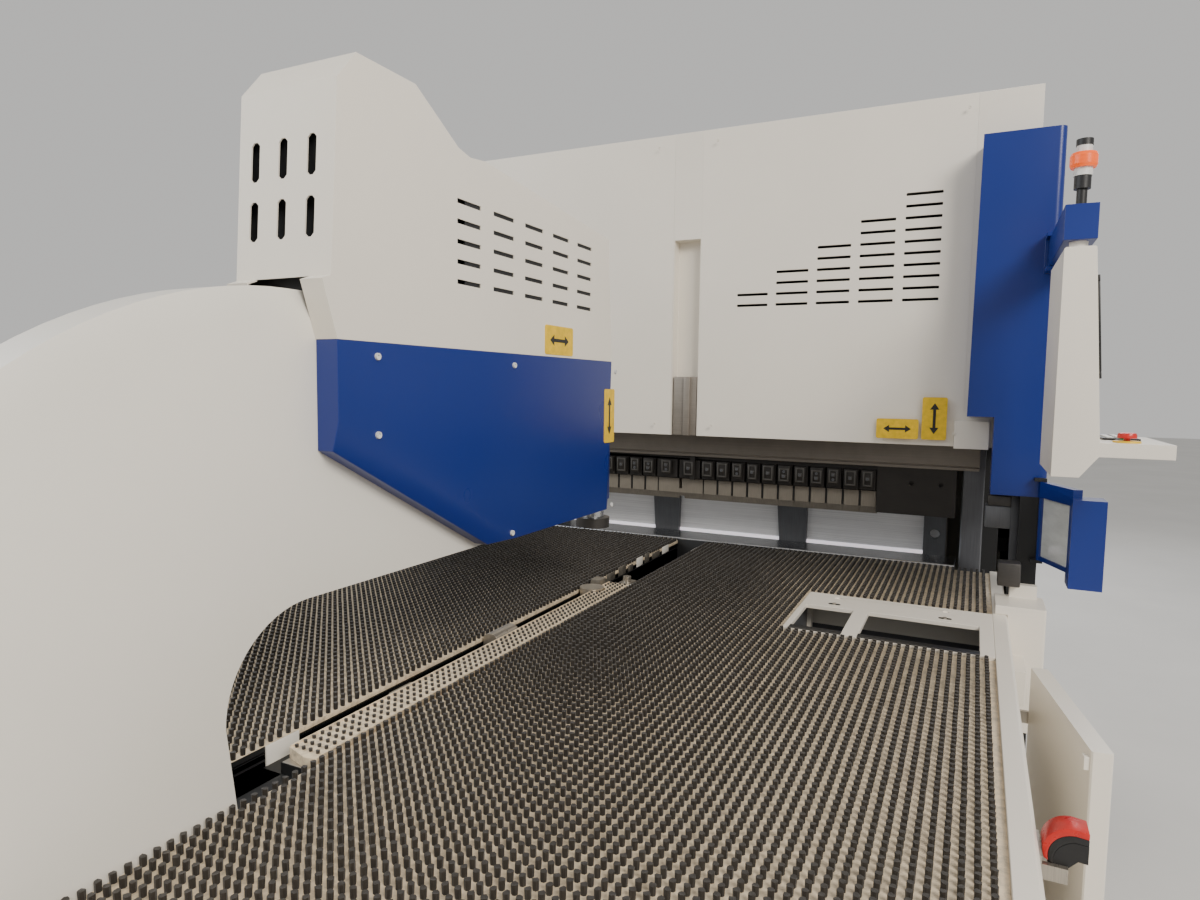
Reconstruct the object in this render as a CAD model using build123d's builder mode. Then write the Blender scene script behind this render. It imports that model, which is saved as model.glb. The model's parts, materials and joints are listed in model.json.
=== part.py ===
"""Panel bender with a brush table and a travelling C-frame manipulator.

Millimetres, +Z up. The origin lies on the floor, under the bend line, in the middle of the
slot between the two brush beds. The operator's side is -Y, the bending unit is at +Y.
"""
import os
from math import atan2, cos, radians, sin, tan

from build123d import *

os.makedirs("parts", exist_ok=True)

# Table
table_height = 900
tuft_height = 15
tuft_pitch = 19.5
tuft_width = 12
bed_thickness = 12
mat_thickness = 13
slot_half = 66
bed_near = -2800
bed_far = -165
rim_width = 38
rim_lip = 6
cabinet_floor_gap = 80
tunnel_half = 250
seat_gap = 0.3

# Pocket in the right bed
pocket_near = -1160
pocket_far = -757
pocket_plate_drop = 6
pocket_plate_thickness = 12
pocket_bar = 148
pocket_side_bar = 34
pocket_near_bar = 18
pocket_post = 42
pocket_depth = 150

# Bending unit
press_stroke = 144
tool_open = 145
tool_height = 91
tool_toe = 28
tool_thickness = 34
tool_toe_back = 12
segment_pitch = 64.5
segment_gap = 0.4
shank_gap = 9
segments_right = 11
segments_left = 8
centre_tool_x = -106
centre_tool_width = 204
centre_notch_width = 26
centre_notch_height = 12
clamp_height = 100
clamp_depth = 66
group_stroke = 60
band_height = 84
nose_depth = 70
nose_height = 290
press_box_share = 0.47
press_box_back = 300
crown_height = 200
crown_back = 530
drive_x = 560
drive_y = 170
drive_flange = 80
rod_radius = 32
rail_width = 75
rail_front = 4
rail_back = 64
side_plate = 65
frame_back = 1150
frame_front = -100
frame_foot = 60
throat_back = 380
throat_radius = 60
lower_tool_depth = 160
lower_tool_thickness = 45
lower_tool_bevel = 25
lower_beam_back = -20
lower_beam_foot = 330
dock_x = 650
dock_half = 160

# Bending blades
blade_length = 1900
blade_front = 24
blade_thickness = 34
blade_gap_low = 30
blade_gap_high = 150
blade_height_low = 120
blade_height_high = 150
c_back = 330
c_web = 100
blade_down = 180
stay_x = 328
stay_pitch = 590
stay_width = 136
end_stay_width = 84
end_stay_hole = 19
blade_up = 60
carriage_plate_depth = 70
rib = 80

# Hood
hood_front = -250
hood_top = 2522
hood_back = 1250
sheet = 4
flange = 30
recess_x = -20
recess_width = 116
recess_depth = 60
vent_columns = 5
vent_pitch_x = 149
vent_first_x = 246
vent_length = 118
vent_height = 9
vent_pitch_z = 40.4
vent_step_rows = 2

# Corner covers
corner_front = -400
corner_back = 60
corner_round = 22
corner_block_width = 108
corner_block_height = 96

# Manipulator
plate_half = 60
arch_radius = 675
arch_centre_y = -2290
arch_bevel = 45
arch_bevel_depth = 16
throat_edge_back = -2435
throat_edge_radius = 160
arm_front = -1290
lower_arm_front = -880
lower_arm_depth = 150
carriage_front = -1500
carriage_foot = 330
head_half = 108
head_rear = -2250
head_front = -1212
cover_diagonal_y = -1806
cover_bevel = 45
cover_bevel_depth = 14
nose_radius = 50
clamp_x = -26
clamp_y = -1050
spindle_radius = 34
spindle_fit = 0.05
foot_radius = 52
foot_height = 30
foot_open = 192
lower_disc_radius = 38
lower_disc_height = 24
shaft_depth = 60
strip_inner = -14
strip_outer = 62
strip_near = -2270
strip_far = -950
strip_pitch = 22
hood_wall = 3
side_vent_y = -1638
side_vent_pitch_y = 126
side_vent_pitch_z = 39
side_vent_length = 80
side_vent_height = 9
side_vent_columns = 5
side_vent_rows = 5
rear_vent_x = -6
rear_vent_pitch_x = 64
rear_vent_pitch_z = 99
rear_vent_width = 20
rear_vent_height = 66
rear_vent_columns = 3
rear_vent_rows = 2
travel_forward = 680
travel_back = 300

# Travel bed
travel_beam_half = 150
travel_beam_foot = 60
travel_beam_top = 240
travel_beam_near = -3250
travel_beam_far = -160
travel_rail_x = 100
travel_rail_width = 28
travel_rail_height = 26
travel_rail_near = -3230
travel_rail_far = -700
carriage_plate_half = 215
carriage_plate_thickness = 30
block_length = 130
block_width = 70
block_height = 64

# Pendant console
arm_pivot_y = -446
console_y = -870
arm_tube_width = 74
arm_tube_height = 88
console_width = 360
console_top_depth = 66
console_low_depth = 96
shelf_reach = 148
shelf_height = 34
swivel_radius = 16
button_stem = 7
lens_height = 36

# Levelling feet
foot_pad = 42
foot_stud = 15
pad_height = 16

# Side fittings
door_hinge_y = -1037
door_width = 478
door_thickness = 38
door_low = 170
door_ajar = 9.4
door_start = 14
hinge_radius = 10
hinge_pin = 6
pane_thickness = 4
gate_hinge_y = -420
gate_angle = 21.8
gate_length = 194
gate_bar = 48
gate_box_width = 84
gate_box_depth = 90
post_width = 56
squaring_width = 128
squaring_near = -750
squaring_far = -600
squaring_cap = 38
squaring_drive = 46

# Places that follow the table's height, the hood's height and the blades' length
tool_x = blade_length / 2 + 42
rail_inner = tool_x + 11
hood_half = rail_inner + rail_width + side_plate + 45
hood_seam = tool_x + 6
band_half = tool_x + 66
corner_inner = hood_seam + 20
corner_outer = hood_half + 60
corner_step_x = hood_seam + 92
bed_outer = hood_half - 82
pocket_inner = bed_outer - 510
pocket_post_x = pocket_inner + 171
squaring_inner = bed_outer + rim_lip
door_hinge_x = bed_outer + rim_width + 60
gate_hinge_x = corner_outer - 10
arm_x = corner_outer + 2
console_back_x = arm_x - 45
tunnel_top = table_height - 290
squaring_top = table_height + 20
squaring_low = table_height - 340
rail_foot = table_height - 260
throat_low = table_height - 200
throat_high = table_height + 450
c_low = table_height - 300
c_top = table_height + 400
hood_low = table_height + 436
corner_low = table_height + 295
corner_step_z = table_height + 545
arch_centre_z = table_height + 100
throat_edge_z = table_height + 271
arm_top = table_height + 740
lower_arm_top = table_height - 50
head_seam_z = table_height + 697
cover_low_z = table_height + 280
cover_diagonal_z = table_height + 514
spindle_top = table_height + 680
hood_rear_low = head_seam_z + 100
side_vent_z = head_seam_z + 210
rear_vent_z = head_seam_z + 246
door_top = table_height - 50
gate_low = table_height + 85
gate_top = table_height + 358
gate_box_low = table_height + 66
gate_box_top = table_height + 323
frame_top = hood_top - 122
rail_top = hood_top - 242
corner_top = hood_top - 182
recess_top = hood_top - 412
vent_low_z = hood_top - 677
arm_low = hood_top - 614
console_top = arm_low - 40
console_low = console_top - 543
shelf_z = console_low + 51
mat_top = table_height - tuft_height
bed_top = mat_top - mat_thickness
bed_under = bed_top - bed_thickness
tool_tip = table_height + tool_open
tool_head = tool_tip + tool_height
band_low = tool_head + clamp_height
nose_top = band_low + nose_height
press_top = nose_top + press_box_share * (rail_top - crown_height - nose_top)
side_inner = rail_inner + rail_width
side_outer = side_inner + side_plate
rim_outer = bed_outer + rim_width
foot_low = table_height + foot_open
spindle_low = foot_low + foot_height
way_top = c_low - blade_down - 30
bed_length = bed_far - bed_near
bed_mid_y = (bed_far + bed_near) / 2


def save(item, name):
    """Label a finished piece and write its STEP file."""
    item.label = name
    export_step(item, f"parts/{name}.step")


def block(x_low, x_high, y_low, y_high, z_low, z_high, mode=Mode.ADD):
    """Add or cut a straight-sided block between two corners, in the part being built."""
    size = (x_high - x_low, y_high - y_low, z_high - z_low)
    with Locations(((x_low + x_high) / 2, (y_low + y_high) / 2, z_low)):
        Box(*size, align=(Align.CENTER, Align.CENTER, Align.MIN), mode=mode)


# Brush beds, one each side of the slot
def build_cabinet(side):
    """Closed sheet-metal cabinet under one bed, with the tunnel for the carriage cut away."""
    profile = [
        (slot_half, bed_under),
        (slot_half, tunnel_top),
        (tunnel_half, tunnel_top),
        (tunnel_half, cabinet_floor_gap),
        (rim_outer - rim_lip, cabinet_floor_gap),
        (rim_outer - rim_lip, bed_under),
    ]
    with BuildPart() as cabinet:
        with BuildSketch(Plane.XZ.offset(-bed_near)):
            Polygon(*[(side * x, z) for x, z in profile], align=None)
        extrude(amount=-bed_length)
        if side > 0:
            with BuildSketch(Plane.YZ.offset(rim_outer - rim_lip)):
                with Locations((door_hinge_y - door_width / 2, (cavity_low + cavity_top) / 2)):
                    Rectangle(door_width - 70, cavity_top - cavity_low)
            extrude(amount=-door_cavity_depth, mode=Mode.SUBTRACT)
            with BuildSketch(Plane.XY.offset(bed_under)):
                with Locations((pocket_mid_x, pocket_mid_y)):
                    Rectangle(bed_outer - pocket_inner, pocket_far - pocket_near)
            extrude(amount=-pocket_depth, mode=Mode.SUBTRACT)
    return cabinet.part


door_cavity_depth = 320
cavity_low = door_low + 40
cavity_top = bed_under - pocket_depth - 20
pocket_mid_x = (pocket_inner + bed_outer) / 2
pocket_mid_y = (pocket_near + pocket_far) / 2

save(build_cabinet(-1), "left_cabinet")
save(build_cabinet(1), "right_cabinet")


def build_bed(side):
    """Bed plate that carries the brush mats; the right one is cut out for the pocket."""
    with BuildPart() as bed:
        with BuildSketch(Plane.XY.offset(bed_under)):
            with Locations((side * (slot_half + bed_outer) / 2, bed_mid_y)):
                Rectangle(bed_outer - slot_half, bed_length)
            if side > 0:
                with Locations((pocket_mid_x, pocket_mid_y)):
                    Rectangle(bed_outer - pocket_inner, pocket_far - pocket_near, mode=Mode.SUBTRACT)
        extrude(amount=bed_thickness)
    return bed.part


save(build_bed(-1) + build_bed(1), "bed_plates")

tuft_columns = int((bed_outer - slot_half - tuft_width) // tuft_pitch) + 1


def build_brushes(side):
    """Brush mat: a thin backing with one ridge of bristle for each column of tufts."""
    mid_x = side * (slot_half + bed_outer) / 2
    with BuildPart() as brushes:
        with BuildSketch(Plane.XY.offset(bed_top)):
            with Locations((mid_x, bed_mid_y)):
                Rectangle(bed_outer - slot_half, bed_length)
            if side > 0:
                with Locations((pocket_mid_x, pocket_mid_y)):
                    Rectangle(bed_outer - pocket_inner, pocket_far - pocket_near, mode=Mode.SUBTRACT)
        extrude(amount=mat_thickness)
        with BuildSketch(Plane.XY.offset(mat_top)):
            with Locations((mid_x, bed_mid_y)):
                with GridLocations(tuft_pitch, bed_length, tuft_columns, 1):
                    Rectangle(tuft_width, bed_length)
            if side > 0:
                with Locations((pocket_mid_x, pocket_mid_y)):
                    Rectangle(bed_outer - pocket_inner, pocket_far - pocket_near, mode=Mode.SUBTRACT)
        extrude(amount=tuft_height)
    return brushes.part


save(build_brushes(-1), "left_brush_field")
save(build_brushes(1), "right_brush_field")


def build_rim(side):
    """Angle rim along the outer and near edges of one bed."""
    inner = side * bed_outer
    outer = side * rim_outer
    with BuildPart() as rim:
        block(min(inner, outer), max(inner, outer), bed_near, bed_far, bed_under, table_height - rim_lip)
        low = min(side * (rim_outer - rim_lip), outer)
        block(low, low + rim_lip, bed_near, bed_far, bed_under - 60, bed_under)
        near_low = min(side * slot_half, outer)
        near_high = max(side * slot_half, outer)
        block(near_low, near_high, bed_near - rim_width, bed_near, bed_under - 60, table_height - rim_lip)
        outer_edges = rim.edges().filter_by(Axis.Y).group_by(Axis.Z)[-1].sort_by(Axis.X)
        chamfer(outer_edges[-1] if side > 0 else outer_edges[0], rim_lip - 1)
    return rim.part


save(build_rim(-1) + build_rim(1), "table_rims")

# Pocket frame: a plate with two windows, its far bar wider than the others
pocket_plate_top = table_height - pocket_plate_drop
with BuildPart() as pocket_frame:
    with BuildSketch(Plane.XY.offset(pocket_plate_top - pocket_plate_thickness)):
        with Locations((pocket_mid_x, pocket_mid_y)):
            Rectangle(bed_outer - pocket_inner - 2 * seat_gap, pocket_far - pocket_near - 2 * seat_gap)
        window_near = pocket_near + pocket_near_bar
        window_far = pocket_far - pocket_bar
        left_low = pocket_inner + pocket_side_bar / 2
        left_high = pocket_post_x - pocket_post / 2
        right_low = pocket_post_x + pocket_post / 2
        right_high = bed_outer - pocket_side_bar
        for low, high in ((left_low, left_high), (right_low, right_high)):
            with Locations(((low + high) / 2, (window_near + window_far) / 2)):
                Rectangle(high - low, window_far - window_near, mode=Mode.SUBTRACT)
    extrude(amount=pocket_plate_thickness)
    with Locations((pocket_inner + 90, pocket_far - 40, pocket_plate_top)):
        CounterBoreHole(5, 9, 4)
    with Locations((bed_outer - 120, pocket_far - 40, pocket_plate_top)):
        CounterBoreHole(5, 9, 4)
    pocket_floor = bed_under - pocket_depth
    leg_x = bed_outer - pocket_side_bar + 4
    plate_low = pocket_plate_top - pocket_plate_thickness
    block(leg_x, bed_outer - 4, pocket_far - 60, pocket_far - 30, pocket_floor, plate_low)
    block(leg_x, bed_outer - 4, pocket_near + 4, pocket_near + 34, pocket_floor, plate_low)
    block(pocket_inner + 2, pocket_inner + 14, pocket_far - 60, pocket_far - 30, pocket_floor, plate_low)
    block(pocket_inner + 2, pocket_inner + 14, pocket_near + 4, pocket_near + 34, pocket_floor, plate_low)
save(pocket_frame.part, "pocket_frame")

# Small side-gripper drive in the pocket, standing on the pocket's floor
gripper_x = bed_outer - 78
gripper_y = pocket_near + 110
with BuildPart() as pocket_drive:
    block(gripper_x - 60, gripper_x + 30, gripper_y - 30, gripper_y + 40, pocket_floor, pocket_floor + 70)
    with BuildSketch(Plane.XY.offset(pocket_floor + 70)):
        with Locations((gripper_x - 10, gripper_y)):
            Circle(24)
    extrude(amount=44)
    with BuildSketch(Plane.XY.offset(pocket_floor + 114)):
        with Locations((gripper_x - 10, gripper_y)):
            Circle(11)
    extrude(amount=22)
save(pocket_drive.part, "pocket_drive")

# Squaring unit, a white box on the right side of the table
with BuildPart() as squaring_box:
    outer = squaring_inner + squaring_width
    block(rim_outer, outer, squaring_near, squaring_far, squaring_low, squaring_top)
    block(bed_outer + rim_lip, rim_outer, squaring_near, squaring_far, table_height - rim_lip, squaring_top)
    vertical = squaring_box.edges().filter_by(Axis.Z).sort_by(Axis.X)[-2:]
    fillet(vertical, 6)
    block(rim_outer + 6, outer - 18, squaring_far - 30, squaring_far, squaring_top, squaring_top + squaring_cap)
    drive_low = squaring_top - 5 * squaring_drive
    drive_near = squaring_near - 3 * squaring_drive
    block(rim_outer, rim_outer + squaring_drive, drive_near, squaring_near, drive_low, drive_low + 2 * squaring_drive)
save(squaring_box.part, "squaring_box")

# Tunnel under the slot: beam, rails, rack
with BuildPart() as travel_beam:
    block(-travel_beam_half, travel_beam_half, travel_beam_near, travel_beam_far, travel_beam_foot, travel_beam_top)
    with BuildSketch(Plane.XZ.offset(-travel_beam_near)):
        with Locations((0, (travel_beam_foot + travel_beam_top) / 2)):
            Rectangle(2 * travel_beam_half - 90, 90)
    extrude(amount=-60, mode=Mode.SUBTRACT)
save(travel_beam.part, "travel_beam")

with BuildPart() as travel_rails:
    with BuildSketch(Plane.XZ.offset(-travel_rail_near)):
        for x in (-travel_rail_x, travel_rail_x):
            with BuildLine():
                half = travel_rail_width / 2
                waist = half - 5
                base = travel_beam_top
                Polyline(
                    (x - half, base),
                    (x + half, base),
                    (x + half, base + 8),
                    (x + waist, base + 13),
                    (x + waist, base + 19),
                    (x + half - 1, base + travel_rail_height),
                    (x - half + 1, base + travel_rail_height),
                    (x - waist, base + 19),
                    (x - waist, base + 13),
                    (x - half, base + 8),
                    close=True,
                )
            make_face()
    extrude(amount=-(travel_rail_far - travel_rail_near))

rack_pitch = 50
rack_height = 24
rack_teeth = int((travel_rail_far - travel_rail_near) // rack_pitch)
with BuildPart() as travel_rack:
    rack_mid = (travel_rail_far + travel_rail_near) / 2
    block(-18, 18, travel_rail_near, travel_rail_far, travel_beam_top, travel_beam_top + rack_height - 9)
    with BuildSketch(Plane.XY.offset(travel_beam_top + rack_height - 9)):
        with Locations((0, rack_mid)):
            with GridLocations(36, rack_pitch, 1, rack_teeth):
                Rectangle(36, rack_pitch / 2)
    extrude(amount=9, taper=8)
save(travel_rails.part + travel_rack.part, "travel_track")

# Welded frame of the bending unit
with BuildPart() as base_frame:
    block(-side_inner, side_inner, -lower_tool_depth, frame_back, frame_foot, frame_foot + 120)
    block(-side_inner, side_inner, c_back - 80, frame_back - 250, frame_foot + 120, way_top)
    block(-side_inner, side_inner, -lower_tool_depth, lower_beam_back, frame_foot, lower_beam_foot)


hood_stay_heights = (840, rail_top - 80)


def build_side_frame(side):
    """Thick C-shaped side plate, open at the bend line so wide blanks pass through."""
    with BuildPart() as frame:
        with BuildSketch(Plane.YZ.offset(side * side_inner)):
            with Locations(((frame_front + frame_back) / 2, (frame_foot + frame_top) / 2)):
                Rectangle(frame_back - frame_front, frame_top - frame_foot)
            with Locations(((frame_front - 60 + throat_back) / 2, (throat_low + throat_high) / 2)):
                width = throat_back - frame_front + 60
                RectangleRounded(width, throat_high - throat_low, throat_radius, mode=Mode.SUBTRACT)
        extrude(amount=side * side_plate)
        chamfer(frame.edges().filter_by(Axis.X).group_by(Axis.Z)[-1], 60)
        low = min(side * side_outer, side * (hood_half - sheet))
        reach = hood_half - sheet - side_outer
        for height in hood_stay_heights:
            block(low, low + reach, c_back + 200, c_back + 600, height, height + 60)
    return frame.part


save(build_side_frame(-1) + build_side_frame(1), "side_frames")


def build_rail(side):
    """Ground guide column for the press beam."""
    low = min(side * rail_inner, side * side_inner)
    with BuildPart() as rail:
        block(low, low + rail_width, rail_front, rail_back, rail_foot, rail_top)
        chamfer(rail.edges().filter_by(Axis.Z), 3)
    return rail.part


save(build_rail(-1) + build_rail(1), "guide_columns")

with BuildPart() as crown_beam:
    block(-side_inner, side_inner, rail_back, crown_back, rail_top - crown_height, rail_top)
    block(-side_inner, side_inner, crown_back - 80, crown_back, press_top + 60, rail_top - crown_height)
    with Locations((-drive_x, drive_y, rail_top), (drive_x, drive_y, rail_top)):
        Hole(rod_radius + spindle_fit, crown_height)

# Two screw actuators that drive the press beam from the crown
with BuildPart() as press_drives:
    with BuildSketch(Plane.XY.offset(rail_top)):
        with Locations((-drive_x, drive_y), (drive_x, drive_y)):
            Rectangle(2 * drive_flange, 2 * drive_flange)
    extrude(amount=24)
    with BuildSketch(Plane.XY.offset(rail_top + 24)):
        with Locations((-drive_x, drive_y), (drive_x, drive_y)):
            Rectangle(1.5 * drive_flange, 1.5 * drive_flange)
    extrude(amount=170)
    with BuildSketch(Plane.XY.offset(rail_top)):
        with Locations((-drive_x, drive_y), (drive_x, drive_y)):
            Circle(rod_radius + spindle_fit)
    extrude(amount=30, mode=Mode.SUBTRACT)
save(press_drives.part, "press_drives")

with BuildPart() as press_rods:
    with BuildSketch(Plane.XY.offset(press_top)):
        with Locations((-drive_x, drive_y), (drive_x, drive_y)):
            Circle(rod_radius)
    extrude(amount=rail_top + 20 - press_top)
    with BuildSketch(Plane.XY.offset(press_top)):
        with Locations((-drive_x, drive_y), (drive_x, drive_y)):
            Rectangle(2 * rod_radius + 48, 2 * rod_radius + 48)
    extrude(amount=20)
save(press_rods.part, "press_rods")

# Lower beam and polished lower tool under the bend line
with BuildPart() as lower_beam:
    beam_top = table_height - lower_tool_thickness
    block(-side_inner, side_inner, -lower_tool_depth, lower_beam_back, lower_beam_foot, beam_top)
    for x in (-dock_x, dock_x):
        block(x - dock_half, x + dock_half, bed_far, -lower_tool_depth, lower_beam_foot + 60, lower_beam_foot + 180)
save(base_frame.part + lower_beam.part + crown_beam.part, "press_frame")

with BuildPart() as lower_tool:
    with BuildSketch(Plane.YZ.offset(-tool_x)):
        with BuildLine():
            low = table_height - lower_tool_thickness
            Polyline(
                (-lower_tool_depth, low),
                (lower_beam_back - 5, low),
                (0, table_height - 12),
                (0, table_height),
                (-lower_tool_depth + 4, table_height),
                (-lower_tool_depth, table_height - 4),
                close=True,
            )
        make_face()
    extrude(amount=2 * tool_x)
save(lower_tool.part, "lower_tool")

# Press beam: front band, nose that holds the tools, box above
with BuildPart() as press_beam:
    block(-tool_x, tool_x, -nose_depth, 0, band_low, nose_top)
    block(-band_half, band_half, -nose_depth, -6, band_low, band_low + band_height)
    block(-tool_x, tool_x, -nose_depth, press_box_back, nose_top, press_top)
    for side in (-1, 1):
        low = min(side * tool_x, side * (side_inner - 8))
        high = max(side * tool_x, side * (side_inner - 8))
        block(low, high, rail_back + spindle_fit, rail_back + 60, nose_top + 20, press_top)
    with BuildSketch(Plane.XZ.offset(nose_depth)):
        with Locations((0, band_low + 14)):
            Rectangle(2 * band_half + 2, 5)
    extrude(amount=-4, mode=Mode.SUBTRACT)
save(press_beam.part, "press_beam")


def tool_profile(x_from, width, height_low, height_high):
    """One length of the upper tool's section, between two heights above its tip."""
    back = tool_toe_back
    with BuildSketch(Plane.YZ.offset(x_from)) as profile:
        with BuildLine():
            Polyline(
                (-tool_thickness, tool_tip + tool_height),
                (0, tool_tip + tool_height),
                (0, tool_tip),
                (-back, tool_tip),
                (-tool_thickness, tool_tip + tool_toe),
                close=True,
            )
        make_face()
        with Locations((-tool_thickness / 2, tool_tip + (height_low + height_high) / 2)):
            Rectangle(tool_thickness + 2, height_high - height_low, mode=Mode.INTERSECT)
    extrude(profile.sketch, amount=width)


def build_segments(start, count, direction):
    """Row of tool segments: wide toes side by side, narrower shanks with dark gaps between."""
    with BuildPart() as segments:
        for index in range(count):
            edge = start + direction * index * segment_pitch
            low = min(edge, edge + direction * segment_pitch) + segment_gap / 2
            width = segment_pitch - segment_gap
            tool_profile(low, width, 0, tool_toe)
            inset = (shank_gap - segment_gap) / 2
            tool_profile(low + inset, width - 2 * inset, tool_toe, tool_height)
    return segments.part


centre_left = centre_tool_x - centre_tool_width / 2
centre_right = centre_tool_x + centre_tool_width / 2
right_end = centre_right + segments_right * segment_pitch
left_end = centre_left - segments_left * segment_pitch
save(build_segments(centre_left, segments_left, -1), "left_tool_segments")
save(build_segments(centre_right, segments_right, 1), "right_tool_segments")

with BuildPart() as centre_tool:
    tool_profile(centre_left + segment_gap, centre_tool_width - 2 * segment_gap, 0, tool_height)
    with BuildSketch(Plane.XZ.offset(tool_thickness + 1)):
        with Locations((centre_tool_x, tool_tip)):
            Rectangle(centre_notch_width, 2 * centre_notch_height)
        with Locations((centre_tool_x, tool_tip + tool_height)):
            Rectangle(centre_notch_width / 2, tool_height)
    extrude(amount=-tool_thickness - 2, mode=Mode.SUBTRACT)
save(centre_tool.part, "centre_tool")


def build_clamps():
    """Dark clamp blocks that hold the tools, one above each segment."""
    low = tool_head + seat_gap
    with BuildPart() as clamps:
        block(left_end, right_end, -clamp_depth + 14, -2, low, band_low)
        with BuildSketch(Plane.XZ.offset(clamp_depth - 14)):
            for index in range(segments_right):
                with Locations((centre_right + (index + 0.5) * segment_pitch, (low + band_low) / 2 - 6)):
                    Rectangle(segment_pitch - 9, clamp_height - 22)
            for index in range(segments_left):
                with Locations((centre_left - (index + 0.5) * segment_pitch, (low + band_low) / 2 - 6)):
                    Rectangle(segment_pitch - 9, clamp_height - 22)
            for x in (centre_tool_x - centre_tool_width / 4, centre_tool_x + centre_tool_width / 4):
                with Locations((x, (low + band_low) / 2 - 6)):
                    Rectangle(centre_tool_width / 2 - 9, clamp_height - 22)
        extrude(amount=14)
        block(centre_tool_x + 56, centre_tool_x + 78, -clamp_depth - 12, -clamp_depth, low, band_low)
    return clamps.part


save(build_clamps(), "tool_clamps")


def build_end_holder(side):
    """Dark end block beside the last segment; it slides out with its row of segments."""
    inner = right_end + segment_gap if side > 0 else left_end - segment_gap
    length = tool_x - 8 - abs(inner)
    low = min(inner, inner + side * length)
    with BuildPart() as holder:
        block(low, low + length, -nose_depth + 4, 0, tool_tip + 12, band_low - seat_gap)
        hole_x = inner + side * (length - 52)
        with Locations(Plane.XZ.offset(nose_depth - 4)):
            with Locations((hole_x, tool_head + 42), (hole_x - side * 102, tool_head + 42)):
                Hole(8, 20)
    return holder.part


save(build_end_holder(-1), "left_end_holder")
save(build_end_holder(1), "right_end_holder")

# Bending blades on their C-shaped holder, behind the bend line
throat_floor = table_height - blade_gap_low - blade_height_low + 40
throat_roof = table_height + blade_gap_high + 70
with BuildPart() as blade_frame:
    with BuildSketch(Plane.YZ.offset(-blade_length / 2)):
        with BuildLine():
            front = blade_front + blade_thickness
            web = c_back - c_web
            Polyline(
                (front, c_top),
                (c_back, c_top),
                (c_back, c_low),
                (front + 70, c_low),
                (front, c_low + 70),
                (front, throat_floor),
                (web - 40, throat_floor),
                (web, throat_floor + 40),
                (web, throat_roof - 40),
                (web - 40, throat_roof),
                (front, throat_roof),
                close=True,
            )
        make_face()
    extrude(amount=blade_length)
save(blade_frame.part, "blade_frame")

with BuildPart() as blade_stays:
    stay_roof = throat_roof - 40
    stay_floor = throat_floor + 40
    with BuildSketch(Plane.XZ.offset(-web)):
        for x in (stay_x - 2 * stay_pitch, stay_x - stay_pitch, stay_x):
            with BuildLine():
                Polyline(
                    (x - stay_width / 2, stay_roof),
                    (x + stay_width / 2, stay_roof),
                    (x + stay_width / 2 - 4, stay_floor),
                    (x - stay_width / 2 + 18, stay_floor),
                    close=True,
                )
            make_face()
        for side in (-1, 1):
            with Locations((side * (blade_length / 2 - end_stay_width / 2), (stay_roof + stay_floor) / 2)):
                Rectangle(end_stay_width, stay_roof - stay_floor)
            with Locations((side * (blade_length / 2 - end_stay_width / 2), stay_floor + 116)):
                Circle(end_stay_hole, mode=Mode.SUBTRACT)
    extrude(amount=26)
save(blade_stays.part, "blade_stays")

with BuildPart() as upper_blade:
    with BuildSketch(Plane.YZ.offset(-blade_length / 2)):
        with BuildLine():
            tip = table_height + blade_gap_high
            Polyline(
                (blade_front, tip + 6),
                (blade_front + 5, tip),
                (blade_front + blade_thickness, tip + 26),
                (blade_front + blade_thickness, tip + blade_height_high),
                (blade_front, tip + blade_height_high),
                close=True,
            )
        make_face()
    extrude(amount=blade_length)

with BuildPart() as lower_blade:
    with BuildSketch(Plane.YZ.offset(-blade_length / 2)):
        with BuildLine():
            tip = table_height - blade_gap_low
            Polyline(
                (blade_front, tip - 6),
                (blade_front + 5, tip),
                (blade_front + blade_thickness, tip - 26),
                (blade_front + blade_thickness, tip - blade_height_low),
                (blade_front, tip - blade_height_low),
                close=True,
            )
        make_face()
    extrude(amount=blade_length)
save(upper_blade.part + lower_blade.part, "bending_blades")

# Carriage that brings the blades forward, and its ways on the base
with BuildPart() as blade_carriage:
    carriage_low = way_top + spindle_fit
    low_y = c_back + spindle_fit
    carriage_half = blade_length / 2 - rib
    block(-carriage_half, carriage_half, low_y, low_y + carriage_plate_depth, carriage_low, c_top + rib / 2)
    carriage_back = low_y + carriage_plate_depth
    for x in (-blade_length / 3, 0, blade_length / 3):
        block(x - rib / 2, x + rib / 2, carriage_back, carriage_back + rib, carriage_low, c_top - 2 * rib)
save(blade_carriage.part, "blade_carriage")

# Sheet-metal hood
recess_low_x = recess_x - recess_width / 2
recess_high_x = recess_x + recess_width / 2


def vent_slots(side):
    """Staircase of vent slots: two more rows in each column towards the machine's end."""
    with BuildSketch(Plane.XZ.offset(-hood_front)) as slots:
        for column in range(vent_columns):
            rows = vent_step_rows * (column + 1)
            x = side * (vent_first_x + column * vent_pitch_x)
            for row in range(rows):
                with Locations((x, vent_low_z + row * vent_pitch_z)):
                    Rectangle(vent_length, vent_height)
    extrude(slots.sketch, amount=-sheet, mode=Mode.SUBTRACT)


def build_hood_front(side):
    """Front panel with a bottom return and the vent staircase."""
    inner = recess_high_x if side > 0 else recess_low_x
    low = min(inner, side * hood_seam)
    high = max(inner, side * hood_seam)
    with BuildPart() as panel:
        block(low, high, hood_front, hood_front + sheet, hood_low, hood_top)
        block(low, high, hood_front, hood_front + flange, hood_low, hood_low + sheet)
        vent_slots(side)
    return panel.part



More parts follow.
